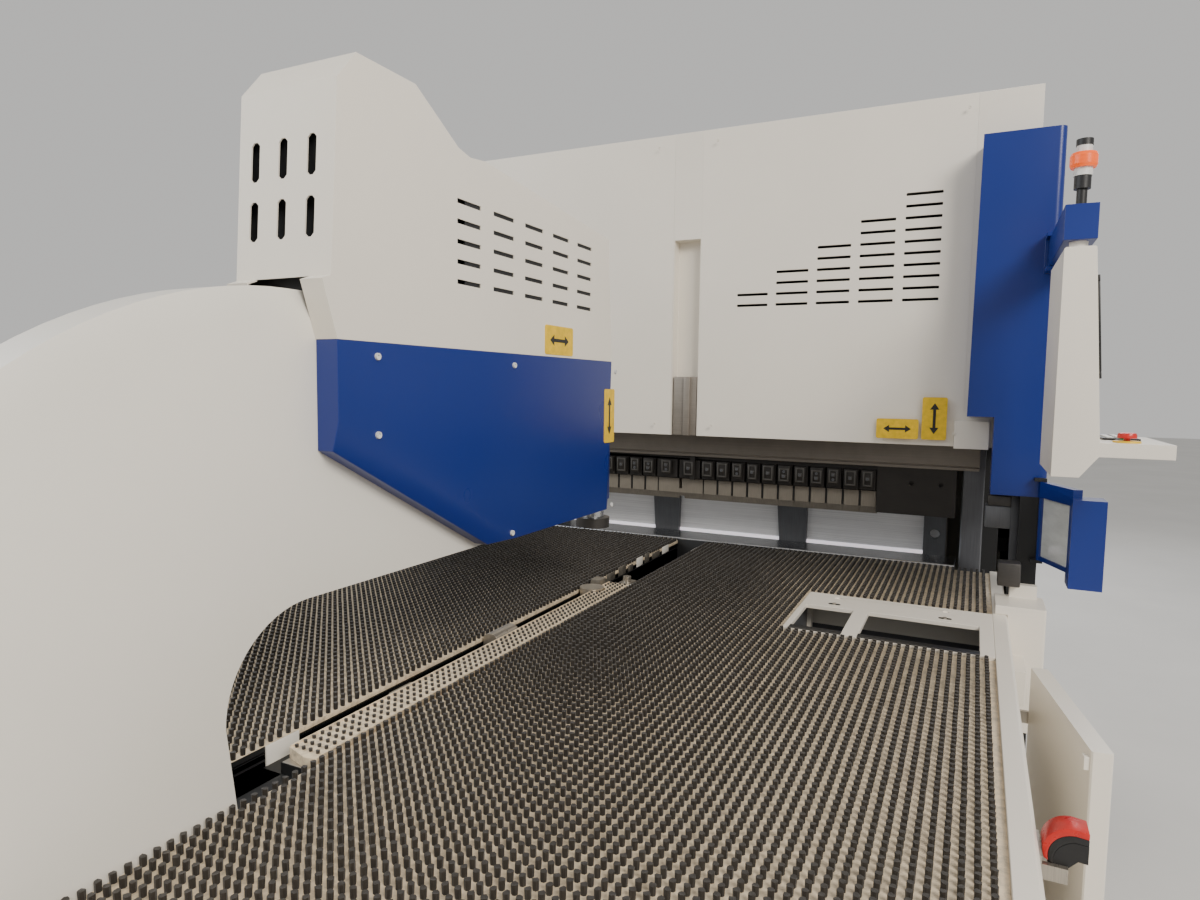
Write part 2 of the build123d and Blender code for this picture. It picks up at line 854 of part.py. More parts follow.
with BuildPart() as hood_recess:
    with BuildSketch(Plane.XY.offset(hood_low)):
        with BuildLine():
            Polyline(
                (recess_low_x, hood_front),
                (recess_low_x, hood_front + recess_depth),
                (recess_high_x, hood_front + recess_depth),
                (recess_high_x, hood_front),
                (recess_high_x - sheet, hood_front),
                (recess_high_x - sheet, hood_front + recess_depth - sheet),
                (recess_low_x + sheet, hood_front + recess_depth - sheet),
                (recess_low_x + sheet, hood_front),
                close=True,
            )
        make_face()
    extrude(amount=recess_top - hood_low)
    block(recess_low_x, recess_high_x, hood_front, hood_front + sheet, recess_top, hood_top)
    block(recess_low_x, recess_high_x, hood_front, hood_front + recess_depth, recess_top, recess_top + sheet)
save(hood_recess.part, "hood_recess")


def build_hood_end(side):
    """End of the hood: front strip outside the seam, side wall and lower side cover."""
    seam = side * hood_seam
    outer = side * hood_half
    with BuildPart() as end:
        with BuildSketch(Plane.XY.offset(hood_low)):
            with BuildLine():
                Polyline(
                    (seam, hood_front),
                    (outer, hood_front),
                    (outer, hood_back),
                    (outer - side * sheet, hood_back),
                    (outer - side * sheet, hood_front + sheet),
                    (seam, hood_front + sheet),
                    close=True,
                )
            make_face()
        extrude(amount=hood_top - hood_low)
        low = min(outer, outer - side * sheet)
        block(low, low + sheet, throat_back + 20, hood_back, frame_foot + 60, hood_low)
    return end.part



with BuildPart() as hood_roof:
    block(-hood_half + sheet, hood_half - sheet, hood_front + sheet, hood_back, hood_top - sheet, hood_top)
    with BuildSketch(Plane.XY.offset(hood_top)):
        with Locations((0, (hood_front + hood_back) / 2 + 150)):
            Rectangle(1300, 420)
    extrude(amount=-sheet, mode=Mode.SUBTRACT)
    with BuildSketch(Plane.XY.offset(hood_top - 2 * sheet)):
        with Locations((0, (hood_front + hood_back) / 2 + 150)):
            Rectangle(1380, 500)
    extrude(amount=sheet)

rear_door_width = 900
rear_door_thickness = 8
with BuildPart() as rear_panel:
    inner = hood_half - sheet
    block(-inner, inner, hood_back - sheet, hood_back, frame_foot + 60, hood_top - sheet)
    for side in (-1, 1):
        low = min(side * sheet, side * rear_door_width)
        high = max(side * sheet, side * rear_door_width)
        door_back = hood_back + rear_door_thickness
        block(low, high, hood_back, door_back, frame_foot + 140, hood_top - 240)
        grip = side * 70
        block(grip - 14, grip + 14, door_back, door_back + 16, table_height + 120, table_height + 300)
    with BuildSketch(Plane.XZ.offset(-hood_back)):
        for x in (-rear_door_width / 2 - 20, rear_door_width / 2 + 20):
            for row in range(8):
                with Locations((x, hood_top - 622 + row * vent_pitch_z)):
                    Rectangle(500, vent_height)
    extrude(amount=sheet, mode=Mode.SUBTRACT)
    with BuildSketch(Plane.XZ.offset(-hood_back)):
        for x in (-rear_door_width / 2 - 20, rear_door_width / 2 + 20):
            for row in range(8):
                with Locations((x, hood_top - 622 + row * vent_pitch_z)):
                    Rectangle(500, vent_height)
    extrude(amount=-rear_door_thickness, mode=Mode.SUBTRACT)
save(build_hood_end(-1) + build_hood_end(1) + hood_roof.part + rear_panel.part, "hood_shell")


def build_corner_cover(side):
    """Painted corner housing that wraps the end of the hood, narrower below its step."""
    with BuildPart() as cover:
        with BuildSketch(Plane.XZ.offset(-corner_front)):
            with BuildLine():
                Polyline(
                    (side * corner_inner, corner_top),
                    (side * corner_outer, corner_top),
                    (side * corner_outer, corner_low),
                    (side * corner_step_x, corner_low),
                    (side * corner_step_x, corner_step_z),
                    (side * (corner_inner - 8), corner_step_z),
                    close=True,
                )
            make_face()
        extrude(amount=-(corner_back - corner_front))
        low = min(side * (corner_inner - 20), side * hood_half)
        high = max(side * (corner_inner - 20), side * hood_half)
        with BuildSketch(Plane.XY.offset(corner_low - 10)):
            with Locations(((low + high) / 2, (hood_front + corner_back + 20) / 2)):
                Rectangle(high - low, corner_back + 20 - hood_front)
        extrude(amount=corner_top - corner_low + 20, mode=Mode.SUBTRACT)
        edges = cover.edges().filter_by(Axis.Z).group_by(Axis.Y)[0].sort_by(Axis.X)
        fillet(edges[-1] if side > 0 else edges[0], corner_round)
    return cover.part



with BuildPart() as corner_blocks:
    for side in (-1, 1):
        low = min(side * (hood_seam - 26), side * (hood_seam - 26 + corner_block_width))
        high = low + corner_block_width
        block(low, high, hood_front - 18, hood_front, hood_low - 6, hood_low - 6 + corner_block_height)
save(build_hood_front(-1) + build_hood_front(1) + corner_blocks.part, "hood_fronts")

# Manipulator: one thick C-shaped plate
throat_corner_y = throat_edge_back + throat_edge_radius
throat_corner_z = throat_edge_z - throat_edge_radius
arch_back = arch_centre_y - arch_radius
arch_top = arch_centre_z + arch_radius
half_turn = sin(radians(45))
with BuildPart() as c_frame:
    with BuildSketch(Plane.YZ.offset(-plate_half)):
        with BuildLine():
            outer_arc = ThreePointArc(
                (arch_back, arch_centre_z),
                (arch_centre_y - arch_radius * half_turn, arch_centre_z + arch_radius * half_turn),
                (arch_centre_y, arch_top),
            )
            Polyline(
                outer_arc @ 1,
                (arch_centre_y + 30, arch_top),
                (arm_front - 30, arm_top),
                (arm_front, arm_top - 30),
                (arm_front, cover_low_z + 24),
                (cover_diagonal_y, throat_edge_z),
                (throat_corner_y, throat_edge_z),
            )
            inner_arc = ThreePointArc(
                (throat_corner_y, throat_edge_z),
                (
                    throat_corner_y - throat_edge_radius * half_turn,
                    throat_corner_z + throat_edge_radius * half_turn,
                ),
                (throat_edge_back, throat_corner_z),
            )
            Polyline(
                inner_arc @ 1,
                (throat_edge_back + 20, lower_arm_top),
                (lower_arm_front, lower_arm_top),
                (lower_arm_front, lower_arm_top - lower_arm_depth / 2),
                (lower_arm_front - 60, lower_arm_top - lower_arm_depth),
                (carriage_front + 120, lower_arm_top - lower_arm_depth),
                (carriage_front, lower_arm_top - lower_arm_depth - 120),
                (carriage_front, carriage_foot),
                (arch_back, carriage_foot),
                (arch_back, arch_centre_z),
            )
        make_face()
    extrude(amount=2 * plate_half)
    arch_edges = [
        edge
        for edge in c_frame.edges()
        if edge.geom_type == GeomType.CIRCLE and abs(edge.radius - arch_radius) < 1
    ]
    back_edges = c_frame.edges().filter_by(Axis.Z).group_by(Axis.Y)[0]
    chamfer(ShapeList(arch_edges) + back_edges, arch_bevel_depth, arch_bevel)
    with Locations((clamp_x, clamp_y, lower_arm_top)):
        Hole(spindle_radius - 14, shaft_depth)
save(c_frame.part, "c_frame")

# Head: spindle housing on the arm's front, blue lower cover, white hood
housing_wall = 12
with BuildPart() as spindle_housing:
    housing_low = cover_low_z + 30
    with BuildSketch(Plane.XY.offset(housing_low)):
        with Locations((clamp_x, clamp_y)):
            Circle(spindle_radius + housing_wall)
        with Locations((clamp_x / 2, (arm_front + clamp_y) / 2)):
            Rectangle(60, clamp_y - arm_front)
        with Locations((clamp_x, clamp_y)):
            Circle(spindle_radius + spindle_fit, mode=Mode.SUBTRACT)
    extrude(amount=spindle_top - housing_low)
save(spindle_housing.part, "spindle_housing")

with BuildPart() as head_lower_cover:
    with BuildSketch(Plane.YZ.offset(-head_half)):
        with BuildLine():
            Polyline(
                (head_rear, head_seam_z),
                (head_front, head_seam_z),
                (head_front - 20, cover_low_z),
                (cover_diagonal_y, cover_low_z),
                (head_rear, cover_diagonal_z),
                close=True,
            )
        make_face()
    extrude(amount=2 * head_half)
    diagonal = [
        edge
        for edge in head_lower_cover.edges()
        if abs(edge.tangent_at(0.5).X) < 0.01
        and abs(edge.tangent_at(0.5).Z) > 0.2
        and abs(edge.tangent_at(0.5).Y) > 0.5
    ]
    chamfer(ShapeList(diagonal), cover_bevel_depth, cover_bevel)
    with BuildSketch(Plane.XY.offset(cover_low_z)):
        with BuildLine():
            tangent_y = head_front - 30
            Polyline(
                (-head_half, tangent_y),
                (-head_half, head_front - 20),
                (clamp_x - nose_radius, clamp_y),
            )
            ThreePointArc(
                (clamp_x - nose_radius, clamp_y),
                (clamp_x, clamp_y + nose_radius),
                (clamp_x + nose_radius, clamp_y),
            )
            Polyline(
                (clamp_x + nose_radius, clamp_y),
                (head_half, head_front - 20),
                (head_half, tangent_y),
                (-head_half, tangent_y),
            )
        make_face()
    extrude(amount=head_seam_z - cover_low_z)
    with BuildSketch(Plane.YZ.offset(-plate_half - seat_gap)):
        with BuildLine():
            slot_front = arm_front + seat_gap
            Polyline(
                (head_rear - 10, head_seam_z + 1),
                (slot_front, head_seam_z + 1),
                (slot_front, cover_low_z + 24 - seat_gap),
                (cover_diagonal_y, throat_edge_z - seat_gap),
                (head_rear - 10, throat_edge_z - seat_gap),
                close=True,
            )
        make_face()
    extrude(amount=2 * plate_half + 2 * seat_gap, mode=Mode.SUBTRACT)
    with BuildSketch(Plane.XY.offset(housing_low - seat_gap)):
        with Locations((clamp_x / 2, (arm_front + clamp_y) / 2)):
            Rectangle(60 + 2 * seat_gap, clamp_y - arm_front)
        with Locations((clamp_x, clamp_y)):
            Circle(spindle_radius + housing_wall + seat_gap)
    extrude(amount=spindle_top - housing_low + 2 * seat_gap, mode=Mode.SUBTRACT)
    with BuildSketch(Plane.XY.offset(cover_low_z - 1)):
        with Locations((clamp_x, clamp_y)):
            Circle(spindle_radius + 2)
    extrude(amount=housing_low - cover_low_z + 1, mode=Mode.SUBTRACT)
save(head_lower_cover.part, "head_lower_cover")

hood_outline = [
    (-2262, hood_rear_low),
    (-2243, head_seam_z + 411),
    (-2201, head_seam_z + 463),
    (-2053, head_seam_z + 464),
    (-1926, head_seam_z + 389),
    (-1887, head_seam_z + 380),
    (-1835, head_seam_z + 386),
    (-1243, head_seam_z + 332),
    (head_front, head_seam_z),
    (head_rear, head_seam_z),
    (head_rear - 31, hood_rear_low - 7),
]
with BuildPart() as head_hood:
    with BuildSketch(Plane.YZ.offset(-head_half)):
        Polygon(*hood_outline, align=None)
    extrude(amount=2 * head_half)
    with BuildSketch(Plane.YZ.offset(-head_half + hood_wall)):
        Polygon(*hood_outline, align=None)
        offset(amount=-hood_wall)
    extrude(amount=2 * head_half - 2 * hood_wall, mode=Mode.SUBTRACT)
    block(-plate_half - seat_gap, plate_half + seat_gap, head_rear - 60, arm_front + seat_gap,
          head_seam_z - 1, hood_rear_low, mode=Mode.SUBTRACT)
    with BuildSketch(Plane.YZ.offset(-head_half - 1)):
        with Locations((side_vent_y, side_vent_z)):
            with GridLocations(side_vent_pitch_y, side_vent_pitch_z, side_vent_columns, side_vent_rows):
                Rectangle(side_vent_length, side_vent_height)
    extrude(amount=2 * head_half + 2, mode=Mode.SUBTRACT)
    with BuildSketch(Plane.XZ.offset(-head_rear + 60)) as rear_vents:
        with Locations((rear_vent_x, rear_vent_z)):
            with GridLocations(rear_vent_pitch_x, rear_vent_pitch_z, rear_vent_columns, rear_vent_rows):
                Rectangle(rear_vent_width, rear_vent_height)
        chamfer(rear_vents.vertices(), rear_vent_width * 0.3)
    extrude(amount=-90, mode=Mode.SUBTRACT)
save(head_hood.part, "head_hood")

# Clamp spindle with its turning disc above, and the driven disc in the lower arm
with BuildPart() as clamp_spindle:
    with BuildSketch(Plane.XY.offset(spindle_low)):
        with Locations((clamp_x, clamp_y)):
            Circle(spindle_radius)
    extrude(amount=spindle_top - 40 - spindle_low)
    with BuildSketch(Plane.XY.offset(foot_low + 10)):
        with Locations((clamp_x, clamp_y)):
            Circle(spindle_radius - 14)
    extrude(amount=spindle_low - foot_low - 10)
save(clamp_spindle.part, "clamp_spindle")

with BuildPart() as upper_disc:
    with BuildSketch(Plane.XY.offset(foot_low)):
        with Locations((clamp_x, clamp_y)):
            Circle(foot_radius)
    extrude(amount=foot_height - spindle_fit)
    with BuildSketch(Plane.XY.offset(foot_low + 10 - spindle_fit)):
        with Locations((clamp_x, clamp_y)):
            Circle(spindle_radius - 14 + spindle_fit)
    extrude(amount=foot_height, mode=Mode.SUBTRACT)
save(upper_disc.part, "upper_disc")

disc_low = table_height - 2 - lower_disc_height
with BuildPart() as lower_disc:
    with BuildSketch(Plane.XY.offset(disc_low)):
        with Locations((clamp_x, clamp_y)):
            Circle(lower_disc_radius)
    extrude(amount=lower_disc_height)
    with BuildSketch(Plane.XY.offset(lower_arm_top - shaft_depth + spindle_fit)):
        with Locations((clamp_x, clamp_y)):
            Circle(spindle_radius - 14 - spindle_fit)
    extrude(amount=disc_low - lower_arm_top + shaft_depth - spindle_fit)
save(lower_disc.part, "lower_disc")

# Brush strip and small fittings that ride on the lower arm, inside the slot
with BuildPart() as slot_strip:
    block(strip_inner, strip_outer - 2, strip_near, strip_far, lower_arm_top, bed_top)
    with BuildSketch(Plane.XY.offset(lower_arm_top)):
        with Locations((clamp_x, clamp_y)):
            Circle(lower_disc_radius + 4)
    extrude(amount=bed_top - lower_arm_top, mode=Mode.SUBTRACT)

with BuildPart() as strip_brushes:
    strip_mid_x = (strip_inner + strip_outer) / 2
    strip_mid_y = (strip_near + strip_far) / 2
    block(strip_inner, strip_outer - 2, strip_near, strip_far, bed_top, mat_top)
    with BuildSketch(Plane.XY.offset(mat_top)):
        with Locations((strip_mid_x - 1, strip_mid_y)):
            with GridLocations(strip_pitch, 1, 3, 1):
                Rectangle(tuft_width, strip_far - strip_near)
    extrude(amount=tuft_height - 2)
    with BuildSketch(Plane.XY.offset(bed_top)):
        with Locations((clamp_x, clamp_y)):
            Circle(lower_disc_radius + 4)
    extrude(amount=tuft_height + mat_thickness, mode=Mode.SUBTRACT)
save(strip_brushes.part, "strip_brushes")

channel_low = -plate_half + 2
channel_high = strip_inner - 3
with BuildPart() as channel_fittings:
    block(channel_low, channel_high, -1600, -1500, lower_arm_top, table_height - 12)
    with BuildSketch(Plane.XZ.offset(1600)):
        with Locations(((channel_low + channel_high) / 2, table_height - 12)):
            Ellipse((channel_high - channel_low) / 2, 14)
    extrude(amount=-100)
    block(channel_low, channel_high - 8, strip_far - 42, strip_far, lower_arm_top, table_height + 6)
    block(channel_low + 8, channel_high - 8, -1960, -1890, lower_arm_top, lower_arm_top + 26)
    block(16, 54, strip_far + 4, lower_arm_front - 4, lower_arm_top, table_height - 8)
    with BuildSketch(Plane.XY.offset(table_height - 8)):
        with Locations((35, (strip_far + lower_arm_front) / 2)):
            Circle(13)
    extrude(amount=18)
save(slot_strip.part + channel_fittings.part, "slot_fittings")

# Carriage under the C-frame
with BuildPart() as carriage_plate:
    plate_low = carriage_foot - carriage_plate_thickness
    block(-carriage_plate_half, carriage_plate_half, arch_back + 40, carriage_front + 120, plate_low, carriage_foot)
    chamfer(carriage_plate.edges().filter_by(Axis.Z), 20)

rail_head = travel_beam_top + travel_rail_height
block_low = travel_beam_top + 8
with BuildPart() as bearing_blocks:
    for y in (arch_back + 160, (arch_back + carriage_front) / 2, carriage_front - 30):
        for x in (-travel_rail_x, travel_rail_x):
            block(x - block_width / 2, x + block_width / 2, y - block_length / 2, y + block_length / 2,
                  block_low, plate_low)
    with BuildSketch(Plane.XZ.offset(-arch_back)):
        for x in (-travel_rail_x, travel_rail_x):
            with Locations((x, (block_low + rail_head) / 2)):
                Rectangle(travel_rail_width + 2 * spindle_fit, rail_head - block_low + 2 * spindle_fit)
    extrude(amount=-(carriage_front - arch_back + 100), mode=Mode.SUBTRACT)
save(carriage_plate.part + bearing_blocks.part, "travel_carriage")

drive_motor_y = carriage_front + 62
with BuildPart() as travel_drive:
    with BuildSketch(Plane.XY.offset(carriage_foot)):
        with Locations((0, drive_motor_y)):
            RectangleRounded(96, 96, 10)
    extrude(amount=60)
    with BuildSketch(Plane.XY.offset(carriage_foot + 60)):
        with Locations((0, drive_motor_y)):
            Circle(44)
    extrude(amount=150)
    block(-40, 40, drive_motor_y - 45, drive_motor_y + 45, travel_beam_top + rack_height + 4, plate_low)
save(travel_drive.part, "travel_drive")

# Pendant arm, console and tower light
arm_top_z = arm_low + arm_tube_height
ear = 14
with BuildPart() as pendant_bracket:
    for low in (arm_low - seat_gap - ear, arm_top_z + seat_gap):
        with BuildSketch(Plane.XY.offset(low)):
            with Locations((arm_x - 8, (arm_pivot_y - 30 + corner_front) / 2)):
                Rectangle(arm_tube_width, corner_front - arm_pivot_y + 30)
        extrude(amount=ear)
    block(arm_x - 8 - arm_tube_width / 2, corner_outer - corner_round, corner_front - 6, corner_front,
          arm_low - seat_gap - ear, arm_top_z + seat_gap + ear)
    with BuildSketch(Plane.XY.offset(arm_low - seat_gap)):
        with Locations((arm_x, arm_pivot_y)):
            Circle(10)
    extrude(amount=arm_tube_height + 2 * seat_gap)
save(build_corner_cover(-1) + build_corner_cover(1) + pendant_bracket.part, "corner_covers")

with BuildPart() as pendant_arm:
    with BuildSketch(Plane.XY.offset(arm_low)):
        with Locations((arm_x, (arm_pivot_y + console_y - 37) / 2)):
            Rectangle(arm_tube_width, arm_pivot_y - console_y + 37)
        with Locations((arm_x, arm_pivot_y)):
            Circle(arm_tube_width / 2)
            Circle(10 + spindle_fit, mode=Mode.SUBTRACT)
    extrude(amount=arm_tube_height)
    with BuildSketch(Plane.XY.offset(arm_low)):
        with Locations((arm_x, console_y)):
            Circle(swivel_radius + spindle_fit)
    extrude(amount=36, mode=Mode.SUBTRACT)
save(pendant_arm.part, "pendant_arm")

console_near = console_y - console_width / 2
console_top_x = console_back_x + console_top_depth
console_low_x = console_back_x + console_low_depth
shelf_x = console_low_x + shelf_reach
shelf_top = shelf_z + shelf_height
button_x = console_low_x + 60
stop_y = console_near + 50
start_y = console_near + 110
with BuildPart() as console_shell:
    with BuildSketch(Plane.XZ.offset(-console_near)):
        with BuildLine():
            Polyline(
                (console_back_x, console_top),
                (console_top_x, console_top),
                (console_low_x, shelf_top),
                (shelf_x, shelf_top),
                (shelf_x, shelf_z),
                (console_low_x, shelf_z),
                (console_low_x - 38, console_low),
                (console_back_x, console_low),
                close=True,
            )
        make_face()
    extrude(amount=-console_width)
    fillet(console_shell.edges().filter_by(Axis.Y).group_by(Axis.Z)[-1], 6)
    with BuildSketch(Plane.XY.offset(console_top)):
        with Locations((arm_x, console_y)):
            Circle(swivel_radius + 5)
    extrude(amount=arm_low - console_top - spindle_fit)
    with BuildSketch(Plane.XY.offset(console_top)):
        with Locations((arm_x, console_y)):
            Circle(swivel_radius)
    extrude(amount=arm_low - console_top + 34)
    with Locations((button_x, stop_y, shelf_top), (button_x, start_y, shelf_top)):
        Hole(button_stem + 1, 16)
save(console_shell.part, "console_shell")

lean = atan2(console_low_x - console_top_x, console_top - shelf_top)
screen_z = (console_top + shelf_z) / 2 + 60
screen_x = console_top_x + (console_top - screen_z) * tan(lean)
face_plane = Plane(origin=(screen_x, console_y, screen_z), x_dir=(0, 1, 0), z_dir=(cos(lean), 0, sin(lean)))
with BuildPart() as console_screen:
    with BuildSketch(face_plane):
        RectangleRounded(290, 220, 6)
    extrude(amount=4)
save(console_screen.part, "console_screen")

key_x = console_low_x + 62
with BuildPart() as console_keypad:
    block(key_x - 40, key_x + 40, console_y - 40, console_near + console_width - 24, shelf_top, shelf_top + 5)

bush_height = 4


def build_button(y, radius, rise, travel):
    """Push button: a stem that slides in its bush, with a round head."""
    with BuildPart() as button:
        with BuildSketch(Plane.XY.offset(shelf_top + bush_height + travel)):
            with Locations((button_x, y)):
                Circle(radius)
        extrude(amount=rise)
        with BuildSketch(Plane.XY.offset(shelf_top - bush_height)):
            with Locations((button_x, y)):
                Circle(button_stem)
        extrude(amount=2 * bush_height + travel)
    return button.part


save(build_button(stop_y, 20, 12, 8), "stop_button")
save(build_button(start_y, 12, 6, 5), "start_button")

with BuildPart() as button_bushes:
    for y, radius in ((stop_y, 24), (start_y, 16)):
        with BuildSketch(Plane.XY.offset(shelf_top)):
            with Locations((button_x, y)):
                Circle(radius)
                Circle(button_stem + spindle_fit, mode=Mode.SUBTRACT)
        extrude(amount=bush_height)
save(console_keypad.part + button_bushes.part, "console_controls")

lamp_base = arm_top_z


def ring(low, height, radius):
    """One turned length of the tower light."""
    with Locations((arm_x, console_y, low)):
        Cylinder(radius, height, align=(Align.CENTER, Align.CENTER, Align.MIN))


with BuildPart() as lamp_stem:
    ring(lamp_base, 42, 12)
    ring(lamp_base + 42, 32, 19)

with BuildPart() as lamp_rings:
    ring(lamp_base + 74, 20, 21)
    ring(lamp_base + 94 + lens_height, 18, 18)
save(lamp_rings.part, "lamp_rings")

with BuildPart() as lamp_lens:
    ring(lamp_base + 94, lens_height, 31)
save(lamp_lens.part, "lamp_lens")

with BuildPart() as lamp_cap:
    ring(lamp_base + 112 + lens_height, 16, 19)
save(lamp_stem.part + lamp_cap.part, "lamp_body")

# Side door, standing ajar on two hinges
door_angle = radians(door_ajar)
door_plane = Plane(
    origin=(door_hinge_x, door_hinge_y, 0),
    x_dir=(sin(door_angle), -cos(door_angle), 0),
    z_dir=(0, 0, 1),
)
hinge_heights = (door_low + 90, door_top - 150)
with BuildPart() as side_door:
    with BuildSketch(door_plane.offset(door_low)):
        with Locations(((door_width + door_start) / 2, 0)):
            Rectangle(door_width - door_start, door_thickness)
    extrude(amount=door_top - door_low)
    chamfer(side_door.edges().filter_by(Axis.Z), 3)
    for height in hinge_heights:
        with BuildSketch(door_plane.offset(height + 30 + seat_gap)):
            with Locations((door_start / 2 + 1, 0)):
                Rectangle(door_start + 2, 10)
            Circle(hinge_radius)
            Circle(hinge_pin + spindle_fit, mode=Mode.SUBTRACT)
        extrude(amount=30)

cabinet_side = rim_outer - rim_lip
with BuildPart() as door_hinges:
    for height in hinge_heights:
        with BuildSketch(Plane.XY.offset(height)):
            with Locations((door_hinge_x, door_hinge_y)):
                Circle(hinge_radius)
            with Locations(((cabinet_side + door_hinge_x) / 2, door_hinge_y + hinge_radius - 5)):
                Rectangle(door_hinge_x - cabinet_side, 10)
        extrude(amount=30)
        with BuildSketch(Plane.XY.offset(height + 30)):
            with Locations((door_hinge_x, door_hinge_y)):
                Circle(hinge_pin)
        extrude(amount=30 + seat_gap)

with BuildPart() as door_latch:
    latch_plane = door_plane.offset(door_top - 40)
    with BuildSketch(latch_plane):
        with Locations((door_width - 14, -door_thickness / 2 - 5)):
            Rectangle(16, 10)
    extrude(amount=26)
save(side_door.part + door_latch.part, "side_door")

# Blue side gate with its pane, on a post beside the bend line
gate_turn = radians(gate_angle)
gate_plane = Plane(
    origin=(gate_hinge_x, gate_hinge_y, 0),
    x_dir=(sin(gate_turn), -cos(gate_turn), 0),
    z_dir=(0, 0, 1),
)
gate_thickness = 26
with BuildPart() as corner_post:
    post_x = gate_hinge_x - 6
    block(post_x - post_width, post_x, corner_front, corner_front + post_width, 12, corner_low)
    block(post_x - post_width - 20, post_x + 20, corner_front - 20, corner_front + post_width + 20, 0, 12)
    for height in (gate_low + 4, gate_top - 10):
        block(post_x - 20, gate_hinge_x + 8, gate_hinge_y - 8, corner_front, height, height + 10)
    with BuildSketch(Plane.XY.offset(gate_low + 14)):
        with Locations((gate_hinge_x, gate_hinge_y)):
            Circle(hinge_pin - 1)
    extrude(amount=gate_top - gate_low - 24)
save(corner_post.part, "corner_post")

gate_tube_low = gate_low + 14 + seat_gap
gate_tube_high = gate_top - 10 - seat_gap
with BuildPart() as side_gate:
    with BuildSketch(gate_plane.offset(gate_tube_low)):
        Circle(hinge_radius)
    extrude(amount=gate_tube_high - gate_tube_low)
    for low, high in ((gate_tube_high - gate_bar, gate_tube_high), (gate_tube_low, gate_tube_low + 14)):
        with BuildSketch(gate_plane.offset(low)):
            with Locations((gate_length / 2 + 4, 0)):
                Rectangle(gate_length, gate_thickness if low > gate_tube_low else 12)
        extrude(amount=high - low)
    gate_end = gate_plane.from_local_coords((gate_length, 0, 0))
    box_low_x = gate_end.X - 14
    block(box_low_x, box_low_x + gate_box_width, gate_end.Y - gate_box_depth / 2, gate_end.Y + gate_box_depth / 2,
          gate_box_low, gate_box_top)
    with BuildSketch(gate_plane.offset(gate_tube_low - 1)):
        Circle(hinge_pin - 1 + spindle_fit)
    extrude(amount=gate_tube_high - gate_tube_low + 2, mode=Mode.SUBTRACT)
    with BuildSketch(gate_plane.offset(gate_tube_low + 10)):
        with Locations((gate_length / 2, 0)):
            Rectangle(gate_length - 20, pane_thickness + 2 * seat_gap)
    extrude(amount=gate_tube_high - gate_bar - gate_tube_low - 2, mode=Mode.SUBTRACT)
save(side_gate.part, "side_gate")

with BuildPart() as gate_pane:
    with BuildSketch(gate_plane.offset(gate_tube_low + 10)):
        with Locations((gate_length / 2, 0)):
            Rectangle(gate_length - 20 - 2 * seat_gap, pane_thickness)
    extrude(amount=gate_tube_high - gate_bar - gate_tube_low - 2)
save(gate_pane.part, "gate_pane")

# Quick-release lever on the table's side
lever_y = -1950
lever_half = 20
lever_pivot_x = rim_outer + 26
lever_pivot_z = table_height - 48
with BuildPart() as lever_bracket:
    base = table_height - 66
    block(rim_outer, rim_outer + 5, lever_y - lever_half - 16, lever_y + lever_half + 16, base, base + 44)
    for side in (-1, 1):
        edge = lever_y + side * (lever_half + seat_gap)
        low = min(edge, edge + side * 9)
        block(rim_outer + 5, lever_pivot_x + 12, low, low + 9, lever_pivot_z - 11, lever_pivot_z + 11)
    with BuildSketch(Plane.XZ.offset(-lever_y - lever_half - 6)):
        with Locations((lever_pivot_x, lever_pivot_z)):
            Circle(hinge_pin - 1)
    extrude(amount=2 * lever_half + 12)
save(door_hinges.part + lever_bracket.part, "side_brackets")

arch_shift_x = rim_outer
arch_shift_z = table_height
with BuildPart() as lever_grip:
    with BuildSketch(Plane.XZ.offset(-lever_y - lever_half)):
        with BuildLine():
            low_arc = ThreePointArc(
                (arch_shift_x + 20, arch_shift_z - 38),
                (arch_shift_x + 29, arch_shift_z - 10),
                (arch_shift_x + 46, arch_shift_z - 1),
            )
            Polyline(
                low_arc @ 1,
                (arch_shift_x + 62, arch_shift_z - 2),
                (arch_shift_x + 62, arch_shift_z - 28),
                (arch_shift_x + 50, arch_shift_z - 27),
                (arch_shift_x + 38, arch_shift_z - 40),
                low_arc @ 0,
            )
        make_face()
        with Locations((lever_pivot_x, lever_pivot_z)):
            Circle(11)
            Circle(hinge_pin - 1 + spindle_fit, mode=Mode.SUBTRACT)
    extrude(amount=2 * lever_half)
save(lever_grip.part, "lever_grip")

with BuildPart() as lever_cover:
    with BuildSketch(Plane.XZ.offset(-lever_y - lever_half)):
        with BuildLine():
            top_arc = ThreePointArc(
                (arch_shift_x + 8, arch_shift_z - 32),
                (arch_shift_x + 16, arch_shift_z + 6),
                (arch_shift_x + 46, arch_shift_z + 18),
            )
            under_arc = ThreePointArc(
                (arch_shift_x + 20, arch_shift_z - 38),
                (arch_shift_x + 29, arch_shift_z - 10),
                (arch_shift_x + 46, arch_shift_z - 1),
            )
            Polyline(
                top_arc @ 1,
                (arch_shift_x + 62, arch_shift_z + 16),
                (arch_shift_x + 62, arch_shift_z - 2),
                under_arc @ 1,
            )
            Line(under_arc @ 0, top_arc @ 0)
        make_face()
    extrude(amount=2 * lever_half)
save(lever_cover.part, "lever_cover")

